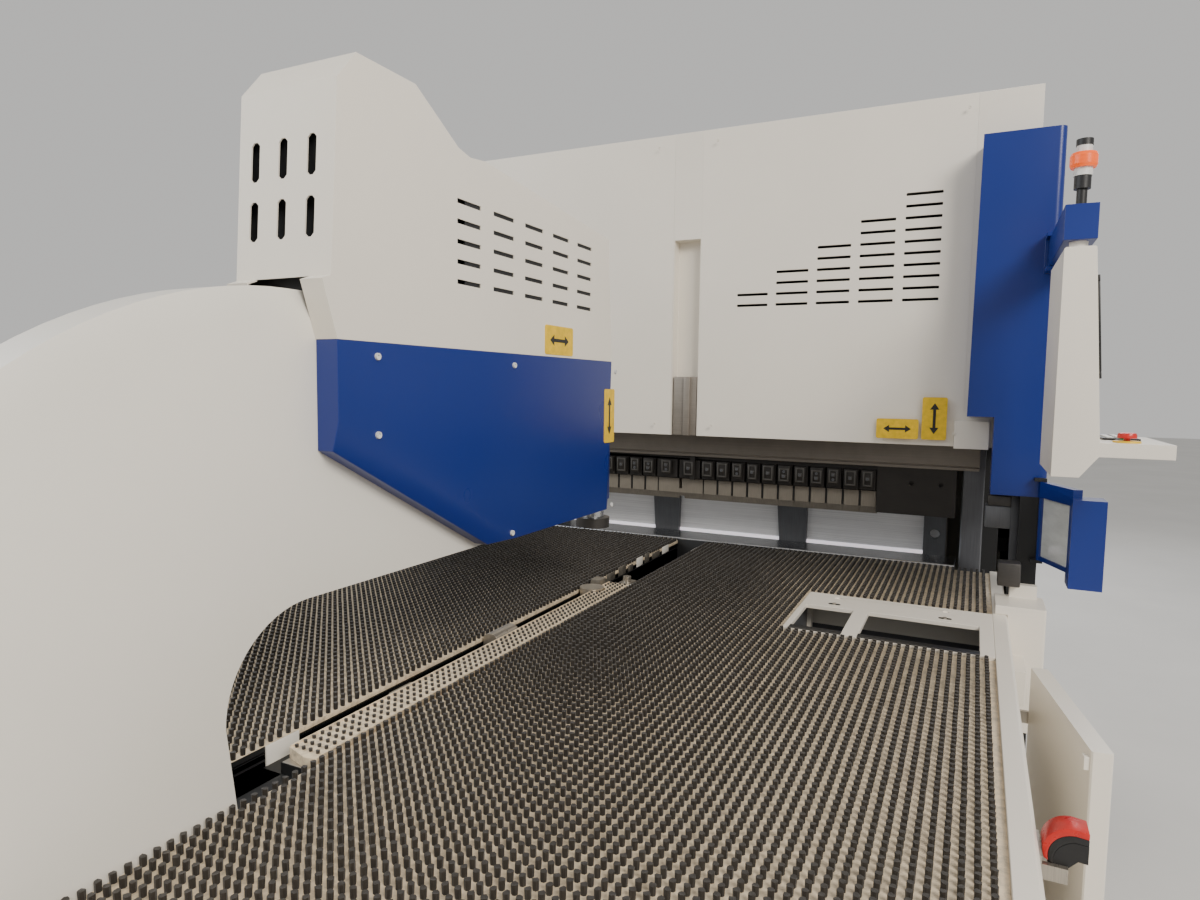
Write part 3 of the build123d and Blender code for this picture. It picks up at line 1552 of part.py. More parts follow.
# Levelling feet
cabinet_feet = [
    (side * x, y)
    for side in (-1, 1)
    for x in (tunnel_half + 70, rim_outer - 90)
    for y in (bed_near + 120, bed_mid_y, bed_far - 120)
]
travel_mid_y = (travel_beam_near + travel_beam_far) / 2
low_feet = [(side * (side_inner - 90), y) for side in (-1, 1) for y in (-90, 620, 1060)]
low_feet += [(0, y) for y in (travel_beam_near + 100, travel_mid_y, travel_beam_far - 80, 0)]
with BuildPart() as levelling_feet:
    with BuildSketch():
        with Locations(*(cabinet_feet + low_feet)):
            RegularPolygon(foot_pad, 8)
    extrude(amount=pad_height)
    with BuildSketch(Plane.XY.offset(pad_height)):
        with Locations(*cabinet_feet):
            RegularPolygon(foot_stud, 6)
    extrude(amount=cabinet_floor_gap - pad_height)
    with BuildSketch(Plane.XY.offset(pad_height)):
        with Locations(*low_feet):
            RegularPolygon(foot_stud, 6)
    extrude(amount=frame_foot - pad_height)
save(levelling_feet.part, "levelling_feet")
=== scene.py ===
"""Looks of the panel bender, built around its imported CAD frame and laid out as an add-on."""
import json
import math
import random

import bmesh
import bpy
from bpy.props import FloatProperty, FloatVectorProperty, IntProperty, PointerProperty
from mathutils import Euler, Matrix, Vector


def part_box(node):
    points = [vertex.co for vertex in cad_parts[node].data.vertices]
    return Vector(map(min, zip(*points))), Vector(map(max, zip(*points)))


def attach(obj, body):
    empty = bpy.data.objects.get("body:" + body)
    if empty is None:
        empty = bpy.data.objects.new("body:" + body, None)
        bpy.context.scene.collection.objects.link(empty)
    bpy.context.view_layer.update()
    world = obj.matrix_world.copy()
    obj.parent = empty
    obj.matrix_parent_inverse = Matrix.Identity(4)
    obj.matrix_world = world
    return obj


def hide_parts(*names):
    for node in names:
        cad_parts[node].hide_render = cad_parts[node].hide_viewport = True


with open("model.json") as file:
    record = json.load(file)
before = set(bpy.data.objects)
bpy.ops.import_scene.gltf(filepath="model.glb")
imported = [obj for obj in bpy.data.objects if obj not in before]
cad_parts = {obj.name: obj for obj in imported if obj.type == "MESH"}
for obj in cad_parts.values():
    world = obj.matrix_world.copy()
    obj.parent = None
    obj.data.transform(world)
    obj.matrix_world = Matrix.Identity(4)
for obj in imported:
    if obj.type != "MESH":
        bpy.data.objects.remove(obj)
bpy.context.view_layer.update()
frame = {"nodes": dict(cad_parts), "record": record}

bl_info = {
    "name": "Panel bender",
    "version": (1, 0, 0),
    "blender": (4, 5, 0),
    "location": "View3D > Sidebar > Panel Bender",
    "description": "Builds the visible pieces of the panel bender around its CAD frame",
    "category": "Object",
}

NODES = frame["nodes"]
SLOT_OF = {entry["node"]: entry["material_slot"] for entry in frame["record"]["subparts"]}
BODY_OF = {
    node: body
    for body, members in frame["record"]["behaviour"]["bodies"].items()
    for node in members
}
MM = 0.001
UP = (0.0, 0.0, 1.0)
TO_FRONT = (0.0, -1.0, 0.0)
# Distance from tool to tool in the press, and how many there are on each side of the centre tool
TOOL_PITCH = 0.0645
TOOLS_RIGHT, TOOLS_LEFT = 11, 8
FINISHES = {}


# Settings that a user would change

def length(name, description, default):
    """A length setting, in metres."""
    return FloatProperty(name=name, description=description, default=default, min=0.0, unit="LENGTH")


def colour(name, description, default):
    """A colour setting."""
    return FloatVectorProperty(name=name, description=description, default=default, size=3, subtype="COLOR",
                               min=0.0, max=1.0)


class BenderSizes(bpy.types.PropertyGroup):
    """Sizes of the pieces that Blender adds to the frame."""
    tuft_spacing: length("Tuft spacing", "Distance between neighbouring bristle tufts", 0.0195)
    tuft_radius: length("Tuft radius", "Radius of a tuft at its foot", 0.0045)
    tuft_height: length("Tuft height", "Height of a tuft above its mat", 0.015)
    tuft_sides: IntProperty(name="Tuft sides", description="Sides of one bristle tuft", default=7,
                            min=5, max=12)
    cover_screw: length("Cover screw", "Radius of the head of a cover screw", 0.0065)
    clamp_screw: length("Clamp screw", "Radius of the head of a clamp screw", 0.008)
    plate_thickness: length("Plate thickness", "Thickness of an axis plate", 0.0012)


class BenderColours(bpy.types.PropertyGroup):
    """Colours of the paints and plastics."""
    white_paint: colour("White paint", "Hood, head and table covers", (0.83, 0.778, 0.685))
    cream_paint: colour("Cream paint", "Plates of the manipulator", (0.83, 0.795, 0.72))
    blue_paint: colour("Blue paint", "Lower head cover, corner covers and gate", (0.0024, 0.019, 0.182))
    grey_paint: colour("Grey paint", "Bed plates and travel carriage", (0.30, 0.285, 0.26))
    dark_paint: colour("Dark paint", "Frames behind the covers and linings", (0.045, 0.047, 0.052))
    brush_mat: colour("Brush mat", "Plate that carries the tufts", (0.90, 0.745, 0.53))
    bristle: colour("Bristle", "Tufts of the brush beds", (0.0085, 0.007, 0.006))
    plate_yellow: colour("Plate yellow", "Axis plates", (0.86, 0.55, 0.01))


class BenderStage(bpy.types.PropertyGroup):
    """Floor, light and camera."""
    floor: colour("Floor", "Colour of the floor", (0.62, 0.61, 0.59))
    backdrop: colour("Backdrop", "Colour of the surroundings", (0.83, 0.82, 0.80))
    surround: FloatProperty(name="Surround", description="Strength of the surrounding light", default=0.72,
                            min=0.0)
    lens: FloatProperty(name="Lens", description="Focal length of the camera", default=23.118, unit="CAMERA")


# Finishes

# Range that holds nearly all values of a noise pattern
PATTERN = (0.3, 0.7)
# Pointiness of an edge, from where its wear begins to where it is full
SHARPNESS = (0.54, 0.66)
# Heights between which a tuft's tip turns paler as a painted highlight, and the share and colour of that
# painted highlight at its tip
TIP_HIGHLIGHT_HEIGHTS = (0.888, 0.9)
TIP_HIGHLIGHT_SHARE, TIP_HIGHLIGHT_COLOUR = 0.12, (0.175, 0.143, 0.108)


def start_finish(name):
    """A new finish: its node tree, its shader and the Object coordinates."""
    material = bpy.data.materials.new(name)
    material.use_nodes = True
    tree = material.node_tree
    FINISHES[name] = material
    return tree, tree.nodes["Principled BSDF"], tree.nodes.new("ShaderNodeTexCoord").outputs["Object"]


def mapped(tree, place, scale):
    """Object coordinates stretched by a scale per axis."""
    mapping = tree.nodes.new("ShaderNodeMapping")
    mapping.inputs["Scale"].default_value = scale
    tree.links.new(place, mapping.inputs["Vector"])
    return mapping.outputs["Vector"]


def noise(tree, vector, scale, detail=2.0, roughness=0.5):
    """A noise pattern's value."""
    node = tree.nodes.new("ShaderNodeTexNoise")
    node.inputs["Scale"].default_value = scale
    node.inputs["Detail"].default_value = detail
    node.inputs["Roughness"].default_value = roughness
    tree.links.new(vector, node.inputs["Vector"])
    return node.outputs["Fac"]


def ramp(tree, value, stops):
    """A colour ramp through the given stops of place and colour."""
    node = tree.nodes.new("ShaderNodeValToRGB")
    band = node.color_ramp
    while len(band.elements) < len(stops):
        band.elements.new(0.5)
    for element, (at, tint) in zip(band.elements, stops):
        element.position = at
        element.color = (*tint, 1.0)
    tree.links.new(value, node.inputs["Fac"])
    return node.outputs["Color"]


def ranged(tree, value, source, target):
    """A value taken from one range to another and kept within it."""
    node = tree.nodes.new("ShaderNodeMapRange")
    for socket, number in zip(("From Min", "From Max", "To Min", "To Max"), (*source, *target)):
        node.inputs[socket].default_value = number
    tree.links.new(value, node.inputs["Value"])
    return node.outputs["Result"]


def spread(tree, value, low, high):
    """A noise pattern's value stretched to the given range."""
    return ranged(tree, value, PATTERN, (low, high))


def grain(tree, value, base, dark, light):
    """A colour that runs from darker to lighter with a noise pattern."""
    return ramp(tree, value, [(PATTERN[0], tinted(base, dark)), (PATTERN[1], tinted(base, light))])


def mixed(tree, share, first, second):
    """Two colours mixed by a share; either may be a socket or a plain colour."""
    node = tree.nodes.new("ShaderNodeMix")
    node.data_type = "RGBA"
    tree.links.new(share, node.inputs[0])
    for socket, value in ((node.inputs[6], first), (node.inputs[7], second)):
        if hasattr(value, "is_output"):
            tree.links.new(value, socket)
        else:
            socket.default_value = (*value, 1.0)
    return node.outputs[2]


def bump(tree, shader, height, strength, distance):
    """Bump of the shader's surface, added to any that it has."""
    node = tree.nodes.new("ShaderNodeBump")
    node.inputs["Strength"].default_value = strength
    node.inputs["Distance"].default_value = distance
    tree.links.new(height, node.inputs["Height"])
    if shader.inputs["Normal"].links:
        tree.links.new(shader.inputs["Normal"].links[0].from_socket, node.inputs["Normal"])
    tree.links.new(node.outputs["Normal"], shader.inputs["Normal"])


def tinted(base, factor):
    """A colour made lighter or darker by a factor."""
    return tuple(min(1.0, channel * factor) for channel in base)


def worn_edges(tree, base, wear, amount):
    """A colour that turns towards the wear colour along the sharp edges."""
    pointiness = tree.nodes.new("ShaderNodeNewGeometry").outputs["Pointiness"]
    return mixed(tree, ranged(tree, pointiness, SHARPNESS, (0.0, amount)), base, wear)


def paint(name, base, roughness, wear=0.35):
    """Sprayed paint with fine orange peel and faint dust; pale paint wears darker, and dark paint paler."""
    tree, shader, place = start_finish(name)
    clouds = noise(tree, place, scale=1.7, detail=3.0)
    dust = noise(tree, place, scale=38.0, detail=4.0, roughness=0.65)
    tone = ramp(tree, clouds, [(0.32, tinted(base, 0.965)), (0.68, tinted(base, 1.02))])
    dusty = mixed(tree, spread(tree, dust, 0.0, 0.045), tone, tinted(base, 0.78))
    worn = tinted(base, 0.62 if sum(base) > 1.0 else 1.9)
    tree.links.new(worn_edges(tree, dusty, worn, wear), shader.inputs["Base Color"])
    gloss = noise(tree, place, scale=3.0)
    tree.links.new(spread(tree, gloss, roughness - 0.03, roughness + 0.05), shader.inputs["Roughness"])
    bump(tree, shader, noise(tree, place, scale=700.0), strength=0.04, distance=0.0002)
    shader.inputs["Coat Weight"].default_value = 0.10
    shader.inputs["Coat Roughness"].default_value = 0.22


def steel(name, base, roughness, stroke, stain=0.25, metallic=1.0):
    """Machined steel with fine strokes along one axis and faint stains."""
    tree, shader, place = start_finish(name)
    scratches = noise(tree, mapped(tree, place, stroke), scale=1.0, detail=3.0, roughness=0.6)
    blotches = noise(tree, place, scale=14.0, detail=4.0, roughness=0.6)
    tone = grain(tree, scratches, base, 0.80, 1.12)
    stained = mixed(tree, spread(tree, blotches, 0.0, stain), tone, tinted(base, 0.45))
    tree.links.new(worn_edges(tree, stained, tinted(base, 1.5), 0.5), shader.inputs["Base Color"])
    tree.links.new(spread(tree, scratches, roughness - 0.08, roughness + 0.12), shader.inputs["Roughness"])
    bump(tree, shader, scratches, strength=0.12, distance=0.0002)
    shader.inputs["Metallic"].default_value = metallic


def plastic(name, base, roughness, fineness=900.0):
    """Moulded plastic with a fine grain."""
    tree, shader, place = start_finish(name)
    tone = grain(tree, noise(tree, place, scale=60.0, detail=3.0), base, 0.86, 1.1)
    tree.links.new(tone, shader.inputs["Base Color"])
    gloss = noise(tree, place, scale=130.0)
    tree.links.new(spread(tree, gloss, roughness - 0.05, roughness + 0.08), shader.inputs["Roughness"])
    bump(tree, shader, noise(tree, place, scale=fineness), strength=0.15, distance=0.0002)


def bristle_finish(name, base):
    """Stiff black nylon: single filaments along the tuft, and tips that turn paler towards the top as a
    painted highlight.
    """
    tree, shader, place = start_finish(name)
    along = mapped(tree, place, (1500.0, 1500.0, 40.0))
    filaments = noise(tree, along, scale=1.0, roughness=0.6)
    tone = ramp(tree, filaments, [(0.38, tinted(base, 0.5)), (0.56, base), (0.74, tinted(base, 4.0))])
    height = tree.nodes.new("ShaderNodeSeparateXYZ")
    tree.links.new(place, height.inputs["Vector"])
    # Painted highlight: the upper end of each tuft turns paler, as if its tips caught the light.
    tips = ranged(tree, height.outputs["Z"], TIP_HIGHLIGHT_HEIGHTS, (0.0, TIP_HIGHLIGHT_SHARE))
    tree.links.new(mixed(tree, tips, tone, TIP_HIGHLIGHT_COLOUR), shader.inputs["Base Color"])
    bump(tree, shader, filaments, strength=0.6, distance=0.0006)
    shader.inputs["Roughness"].default_value = 0.52
    shader.inputs["Sheen Weight"].default_value = 0.15


def mat_finish(name, base):
    """Sheet-metal mat: satin with dust that gathers between the tufts."""
    tree, shader, place = start_finish(name)
    grime = noise(tree, place, scale=55.0, detail=5.0, roughness=0.7)
    clouds = noise(tree, place, scale=3.2, detail=3.0)
    tone = ramp(tree, grime, [(0.34, tinted(base, 0.62)), (0.56, base), (0.74, tinted(base, 1.12))])
    dusty = mixed(tree, spread(tree, clouds, 0.0, 0.22), tone, tinted(base, 0.6))
    tree.links.new(dusty, shader.inputs["Base Color"])
    tree.links.new(spread(tree, grime, 0.34, 0.55), shader.inputs["Roughness"])
    bump(tree, shader, grime, strength=0.15, distance=0.0004)
    shader.inputs["Metallic"].default_value = 0.25


def glowing(name, base, strength):
    """Translucent moulded piece that glows a little: the tower light's lens, and the web's strip, whose glow
    is a painted reflection.
    """
    tree, shader, place = start_finish(name)
    rings = noise(tree, mapped(tree, place, (30.0, 30.0, 400.0)), scale=1.0)
    tree.links.new(grain(tree, rings, base, 0.75, 1.0), shader.inputs["Base Color"])
    shader.inputs["Roughness"].default_value = 0.25
    shader.inputs["Emission Color"].default_value = (*base, 1.0)
    shader.inputs["Emission Strength"].default_value = strength
    shader.inputs["Subsurface Weight"].default_value = 0.15


def glass(name, base, roughness, smudge):
    """Flat display glass with faint smudges."""
    tree, shader, place = start_finish(name)
    wiped = noise(tree, mapped(tree, place, (9.0, 9.0, 30.0)), scale=1.0, detail=4.0, roughness=0.6)
    tree.links.new(ramp(tree, wiped, [(0.35, base), (0.75, tinted(base, 1.35))]), shader.inputs["Base Color"])
    tree.links.new(spread(tree, wiped, roughness, roughness + smudge), shader.inputs["Roughness"])
    shader.inputs["Coat Weight"].default_value = 0.6
    shader.inputs["Coat Roughness"].default_value = 0.05


# Nodes whose finish is another one than that of their material slot
OWN_FINISH = {
    # The blade frame's web finish is near white as a painted reflection.
    "blade_frame": "web_steel", "press_beam": "beam_steel", "blade_stays": "stay_steel",
    "guide_columns": "column_steel", "left_tool_segments": "tool_steel", "right_tool_segments": "tool_steel",
    # The side frames, corner post and press frame take the near-black shade paint: painted shade for frames
    # that lie in deep shade.
    "centre_tool": "tool_steel", "side_frames": "shade_paint", "corner_post": "shade_paint",
    "press_frame": "shade_paint", "lower_disc": "ground_steel", "tool_clamps": "clamp_steel",
    "left_end_holder": "clamp_steel", "right_end_holder": "clamp_steel",
}


def finish_of(node):
    """Finish of a node: its own one, or else that of its material slot."""
    return OWN_FINISH.get(node, SLOT_OF[node])


# Name, roughness and wear of the paints that a user may recolour
PAINTS = (
    ("white_paint", 0.36, 0.35),
    ("cream_paint", 0.34, 0.35),
    ("blue_paint", 0.30, 0.3),
    ("grey_paint", 0.45, 0.35),
    ("dark_paint", 0.45, 0.5),
)
# Name, colour, roughness, fineness of the strokes along each axis, stain and metallic share of the steels
STEELS = (
    # The web's near-white, non-metallic colour is a painted reflection: it stands in for polished steel that
    # shines in the shaded mouth of the press.
    ("web_steel", (0.93, 0.93, 0.94), 0.46, (1.5, 300.0, 300.0), 0.08, 0.0),
    ("clamp_steel", (0.045, 0.041, 0.038), 0.42, (30.0, 30.0, 900.0), 0.35, 0.6),
    ("wedge_steel", (0.105, 0.10, 0.092), 0.42, (30.0, 30.0, 900.0), 0.35, 0.5),
    ("beam_steel", (0.27, 0.24, 0.205), 0.46, (2.0, 300.0, 500.0), 0.30, 0.45),
    ("tool_steel", (0.30, 0.265, 0.215), 0.44, (400.0, 60.0, 10.0), 0.30, 0.55),
    ("stay_steel", (0.13, 0.135, 0.145), 0.45, (300.0, 60.0, 12.0), 0.3, 0.4),
    ("column_steel", (0.15, 0.155, 0.17), 0.36, (500.0, 60.0, 8.0), 0.2, 0.6),
    ("dark_steel", (0.085, 0.08, 0.076), 0.42, (30.0, 30.0, 900.0), 0.35, 0.75),
    ("ground_steel", (0.46, 0.42, 0.36), 0.34, (700.0, 60.0, 14.0), 0.30, 0.85),
    ("polished_steel", (0.66, 0.67, 0.69), 0.16, (6.0, 500.0, 500.0), 0.12, 1.0),
    ("aluminium", (0.62, 0.62, 0.62), 0.36, (8.0, 400.0, 400.0), 0.12, 1.0),
)
# Name, colour and roughness of the plastics
PLASTICS = (
    ("black_plastic", (0.012, 0.012, 0.013), 0.42),
    ("white_plastic", (0.72, 0.72, 0.70), 0.28),
    ("red_plastic", (0.56, 0.018, 0.012), 0.3),
    ("green_plastic", (0.02, 0.30, 0.08), 0.3),
    ("yellow_plastic", (0.80, 0.52, 0.02), 0.35),
    ("blue_plastic", (0.05, 0.09, 0.30), 0.35),
)
# Name, colour and strength of the pieces that glow: the tower light's lens, and the strip at the web's foot,
# whose glow is a painted reflection
GLOWING_PIECES = (
    ("amber_plastic", (0.95, 0.13, 0.012), 0.4),
    # The web's strip glows though it is no lamp: a painted reflection.
    ("light_strip", (0.90, 0.88, 0.95), 0.75),
)
# Name, colour, roughness and smudges of the display and the pane
GLASSES = (
    ("screen", (0.012, 0.016, 0.022), 0.08, 0.12),
    ("screen_light", (0.10, 0.22, 0.38), 0.12, 0.1),
    ("screen_grey", (0.30, 0.32, 0.34), 0.12, 0.1),
    ("pane", (0.52, 0.53, 0.51), 0.30, 0.2),
)
# The grain of a printed plate is coarser than that of moulded plastic
PRINT_FINENESS = 300.0


def build_finishes():
    """Every finish, and the right one on each node of the frame."""
    tints = bpy.context.scene.bender_colours
    for name, roughness, wear in PAINTS:
        paint(name, tuple(getattr(tints, name)), roughness, wear)
    # Shade paint: the dark paint made far darker, a painted shade for frames and sheets that lie in shade.
    paint("shade_paint", tinted(tints.dark_paint, 0.15), 0.6, 0.3)
    for make, rows in ((steel, STEELS), (plastic, PLASTICS), (glowing, GLOWING_PIECES), (glass, GLASSES)):
        for row in rows:
            make(*row)
    plastic("plate_yellow", tuple(tints.plate_yellow), 0.38, PRINT_FINENESS)
    plastic("plate_black", (0.012, 0.012, 0.012), 0.4, PRINT_FINENESS)
    bristle_finish("bristle", tuple(tints.bristle))
    mat_finish("brush_mat", tuple(tints.brush_mat))
    # The slot strip's finish is a paler copy of the brush mat: painted light, the strip lit more brightly
    # than the beds.
    mat_finish("strip_mat", tinted(tints.brush_mat, 1.09))
    for node, piece in NODES.items():
        piece.data.materials.clear()
        piece.data.materials.append(FINISHES[finish_of(node)])


# Shared ways of making a piece

# Turn between two faces, in radians, from which their edge is rounded
SHARP_TURN = 0.5
# Radius of the screws in the pocket and on the plain sides
SMALL_SCREW = 0.0055


def linked(name, data):
    """A new object in the scene."""
    holder = bpy.data.objects.new(name, data)
    bpy.context.scene.collection.objects.link(holder)
    return holder


def finished(bm, name, finish, body, stands_for=(), crease=35.0):
    """A bmesh turned into a piece that rides on its body."""
    mesh = bpy.data.meshes.new(name)
    bm.to_mesh(mesh)
    bm.free()
    for stale in ("custom_normal", "sharp_face"):
        if stale in mesh.attributes:
            mesh.attributes.remove(mesh.attributes[stale])
    mesh.shade_smooth()
    mesh.set_sharp_from_angle(angle=math.radians(crease))
    piece = linked(name, mesh)
    for one in (finish,) if isinstance(finish, str) else finish:
        mesh.materials.append(FINISHES[one])
    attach(piece, body)
    if stands_for:
        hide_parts(*stands_for)
    return piece


def faces_at(verts):
    """Faces that touch some vertices, each one once and in a steady order."""
    return list(dict.fromkeys(face for vert in verts for face in vert.link_faces))


def edges_at(verts):
    """Edges that touch some vertices, each one once and in a steady order."""
    return list(dict.fromkeys(edge for vert in verts for edge in vert.link_edges))


def round_edges(bm, edges, offset, segments=2):
    """Rounds some edges of a bmesh and gives the faces that touch the new ones."""
    made = bmesh.ops.bevel(bm, geom=edges, offset=offset, offset_type="OFFSET", affect="EDGES",
                           segments=segments, profile=0.5, material=-1, clamp_overlap=True)
    return faces_at(made["verts"])


def set_finish(faces, finish):
    """Puts one of the piece's finishes on the faces that are still there."""
    for face in faces:
        if face.is_valid:
            face.material_index = finish


def add_slab(bm, low, high, bevel=0.0, finish=0):
    """A straight block between two corners, with its edges rounded."""
    low, high = Vector(low), Vector(high)
    size = high - low
    place = Matrix.Translation((low + high) / 2) @ Matrix.Diagonal((*size, 1.0))
    verts = bmesh.ops.create_cube(bm, size=1.0, matrix=place)["verts"]
    faces = faces_at(verts)
    if bevel:
        faces += round_edges(bm, edges_at(verts), bevel)
    set_finish(faces, finish)


def slab_piece(name, finish, body, blocks, bevel=0.0):
    """A piece made of straight blocks, each between a low and a high corner."""
    bm = bmesh.new()
    for low, high in blocks:
        add_slab(bm, low, high, bevel)
    finished(bm, name, finish, body)


def facing(outward):
    """A turn that takes +Z to the outward direction."""
    return Vector(UP).rotation_difference(Vector(outward)).to_matrix().to_4x4()


def add_round(bm, centre, outward, radius, height, segments=24, bevel=0.0, top_radius=None, finish=0):
    """A round boss that starts at its centre and stands up along the outward direction."""
    place = Matrix.Translation(Vector(centre)) @ facing(outward) @ Matrix.Translation((0.0, 0.0, height / 2))
    end = radius if top_radius is None else top_radius
    verts = bmesh.ops.create_cone(bm, cap_ends=True, segments=segments, radius1=radius, radius2=end,
                                  depth=height, matrix=place)["verts"]
    faces = faces_at(verts)
    if bevel:
        direction = Vector(outward).normalized()
        high = max(vert.co.dot(direction) for vert in verts)
        top = [edge for edge in edges_at(verts)
               if all(vert.co.dot(direction) > high - 1e-6 for vert in edge.verts)]
        faces += round_edges(bm, top, bevel)
    set_finish(faces, finish)


def add_outline(bm, points, base, rise, bevel=0.0, finish=0):
    """A flat outline raised along one direction; the points already lie in space."""
    verts = [bm.verts.new(Vector(point) + Vector(base)) for point in points]
    face = bm.faces.new(verts)
    made = bmesh.ops.extrude_face_region(bm, geom=[face])
    moved = [item for item in made["geom"] if isinstance(item, bmesh.types.BMVert)]
    bmesh.ops.translate(bm, verts=moved, vec=Vector(rise))
    faces = faces_at(verts + moved)
    bmesh.ops.recalc_face_normals(bm, faces=faces)
    set_finish(faces, finish)
    if bevel:
        sharp = [edge for edge in edges_at(verts + moved) if edge.calc_face_angle(0.0) > SHARP_TURN]
        round_edges(bm, sharp, bevel)


def pattern_mesh(make):
    """A small mesh that is stamped many times."""
    bm = bmesh.new()
    make(bm)
    mesh = bpy.data.meshes.new("pattern")
    bm.to_mesh(mesh)
    bm.free()
    return mesh


def stamp(bm, pattern, place):
    """One copy of a pattern mesh, put in its place."""
    copy = pattern.copy()
    copy.transform(place)
    bm.from_mesh(copy)
    bpy.data.meshes.remove(copy)


def socket_screw(bm, radius, height):
    """Head of a socket screw on z = 0, with a hexagonal recess."""
    made = bmesh.ops.create_cone(bm, cap_ends=True, segments=12, radius1=radius, radius2=radius * 0.94,
                                 depth=height, matrix=Matrix.Translation((0.0, 0.0, height / 2)))
    top = max(faces_at(made["verts"]), key=lambda face: face.calc_center_median().z)
    bmesh.ops.inset_region(bm, faces=[top], thickness=radius * 0.42, use_even_offset=True)
    sunk = bmesh.ops.extrude_discrete_faces(bm, faces=[top])["faces"]
    bmesh.ops.translate(bm, verts=list(sunk[0].verts), vec=(0.0, 0.0, -height * 0.6))


def screws(name, places, outward, radius, height, finish, body):
    """A group of like socket screws."""
    pattern = pattern_mesh(lambda bm: socket_screw(bm, radius, height))
    bm = bmesh.new()
    for place in places:
        stamp(bm, pattern, Matrix.Translation(Vector(place)) @ facing(outward))
    bpy.data.meshes.remove(pattern)
    finished(bm, name, finish, body, crease=30.0)


# Rounded edges of the hard nodes

# Radius of each node's edges, in millimetres
ROUNDED = {
    "left_cabinet": 3.0, "right_cabinet": 3.0, "bed_plates": 1.5, "table_rims": 1.5,
    "pocket_frame": 1.2, "squaring_box": 2.0, "travel_beam": 3.0, "press_frame": 3.0,
    "side_frames": 3.0, "guide_columns": 2.0, "press_drives": 3.0, "lower_tool": 1.0,
    "hood_fronts": 1.6, "hood_recess": 1.2, "hood_shell": 1.6, "corner_post": 2.5,
    "press_beam": 2.5, "tool_clamps": 1.2, "centre_tool": 0.7, "left_tool_segments": 0.6,
    "right_tool_segments": 0.6, "left_end_holder": 1.5, "right_end_holder": 1.5,
    "blade_carriage": 3.0, "blade_frame": 2.0, "blade_stays": 2.0, "bending_blades": 0.8,
    "c_frame": 2.5, "head_lower_cover": 2.0, "slot_fittings": 1.2, "travel_carriage": 2.5,
    "travel_drive": 2.0, "console_shell": 2.5, "side_door": 2.0, "side_gate": 2.0,
    "pendant_arm": 2.5, "corner_covers": 1.5, "head_hood": 1.6,
}
# Sheets with many slots keep their triangles, because one face can't hold so many holes
PIERCED = {"hood_fronts", "head_hood", "hood_shell", "pocket_frame"}
# Where the vents of the hood's front are closed, from side to side and in height
CLOSED_VENTS = ((-0.46, -0.18), (1.83, 2.02))


def close_inner_vents(bm):
    """The vents beside the hood's recess, on the left front, are closed, as the photograph shows."""
    (left, right), (foot, head) = CLOSED_VENTS
    inner = [vert for vert in bm.verts if left < vert.co.x < right and foot < vert.co.z < head]
    planes = sorted({round(vert.co.y, 4) for vert in inner})
    bmesh.ops.delete(bm, geom=inner, context="VERTS")
    for plane, way in zip(planes, (-1.0, 1.0)):
        rim = [edge for edge in bm.edges
               if edge.is_boundary and all(abs(vert.co.y - plane) < 0.0005 for vert in edge.verts)]
        bmesh.ops.triangle_fill(bm, use_beauty=True, use_dissolve=False, edges=rim, normal=(0.0, way, 0.0))


def rounded_copy(node, radius):
    """A copy of a hard node with its triangles joined into whole faces and its edges rounded."""
    bm = bmesh.new()
    bm.from_mesh(NODES[node].data)
    bmesh.ops.remove_doubles(bm, verts=bm.verts, dist=0.00002)
    if node == "hood_fronts":
        close_inner_vents(bm)
    if node not in PIERCED:
        bmesh.ops.dissolve_limit(bm, angle_limit=math.radians(1.0), use_dissolve_boundaries=False,
                                 verts=bm.verts, edges=bm.edges, delimit=set())
    for face in bm.faces:
        face.material_index = 0
    piece = finished(bm, node + "_rounded", finish_of(node), BODY_OF[node], (node,), 30.0)
    edge = piece.modifiers.new("Rounded edges", "BEVEL")
    edge.width = radius * MM
    edge.segments = 2
    edge.profile = 0.5
    edge.limit_method = "ANGLE"
    edge.angle_limit = math.radians(38.0)
    edge.miter_outer = "MITER_ARC"
    edge.harden_normals = True


# Brush beds

TUFT_VARIANTS = 6
# Tip of a tuft: its width over that of the foot, how uneven it is, and how far it may narrow again
TIP_FLARE, TIP_UNEVEN, TIP_SPREAD = 1.16, 0.11, 0.86
# Deviation of the two angles by which a tuft leans, in radians
TUFT_LEAN = 0.018
# Rounding of a mat's edges, and the gap from its edge to the first column of tufts
MAT_BEVEL = 0.0006
BED_MARGIN = 0.0065


def tuft_pattern(seed, radius, height, sides):
    """One tuft: a bundle of filaments that spreads towards an uneven tip."""
    rng = random.Random(seed)

    def make(bm):
        made = bmesh.ops.create_cone(bm, cap_ends=True, cap_tris=True, segments=sides, radius1=radius,
                                     radius2=radius * TIP_FLARE, depth=height,
                                     matrix=Matrix.Translation((0.0, 0.0, height / 2)))
        foot = [face for face in bm.faces if face.calc_center_median().z < height * 0.01]
        bmesh.ops.dissolve_faces(bm, faces=foot)
        for vert in made["verts"]:
            if vert.is_valid and vert.co.z > height * 0.5:
                vert.co.z -= rng.uniform(0.0, height * TIP_UNEVEN)
                vert.co.x *= rng.uniform(TIP_SPREAD, 1.0)
                vert.co.y *= rng.uniform(TIP_SPREAD, 1.0)
    return pattern_mesh(make)


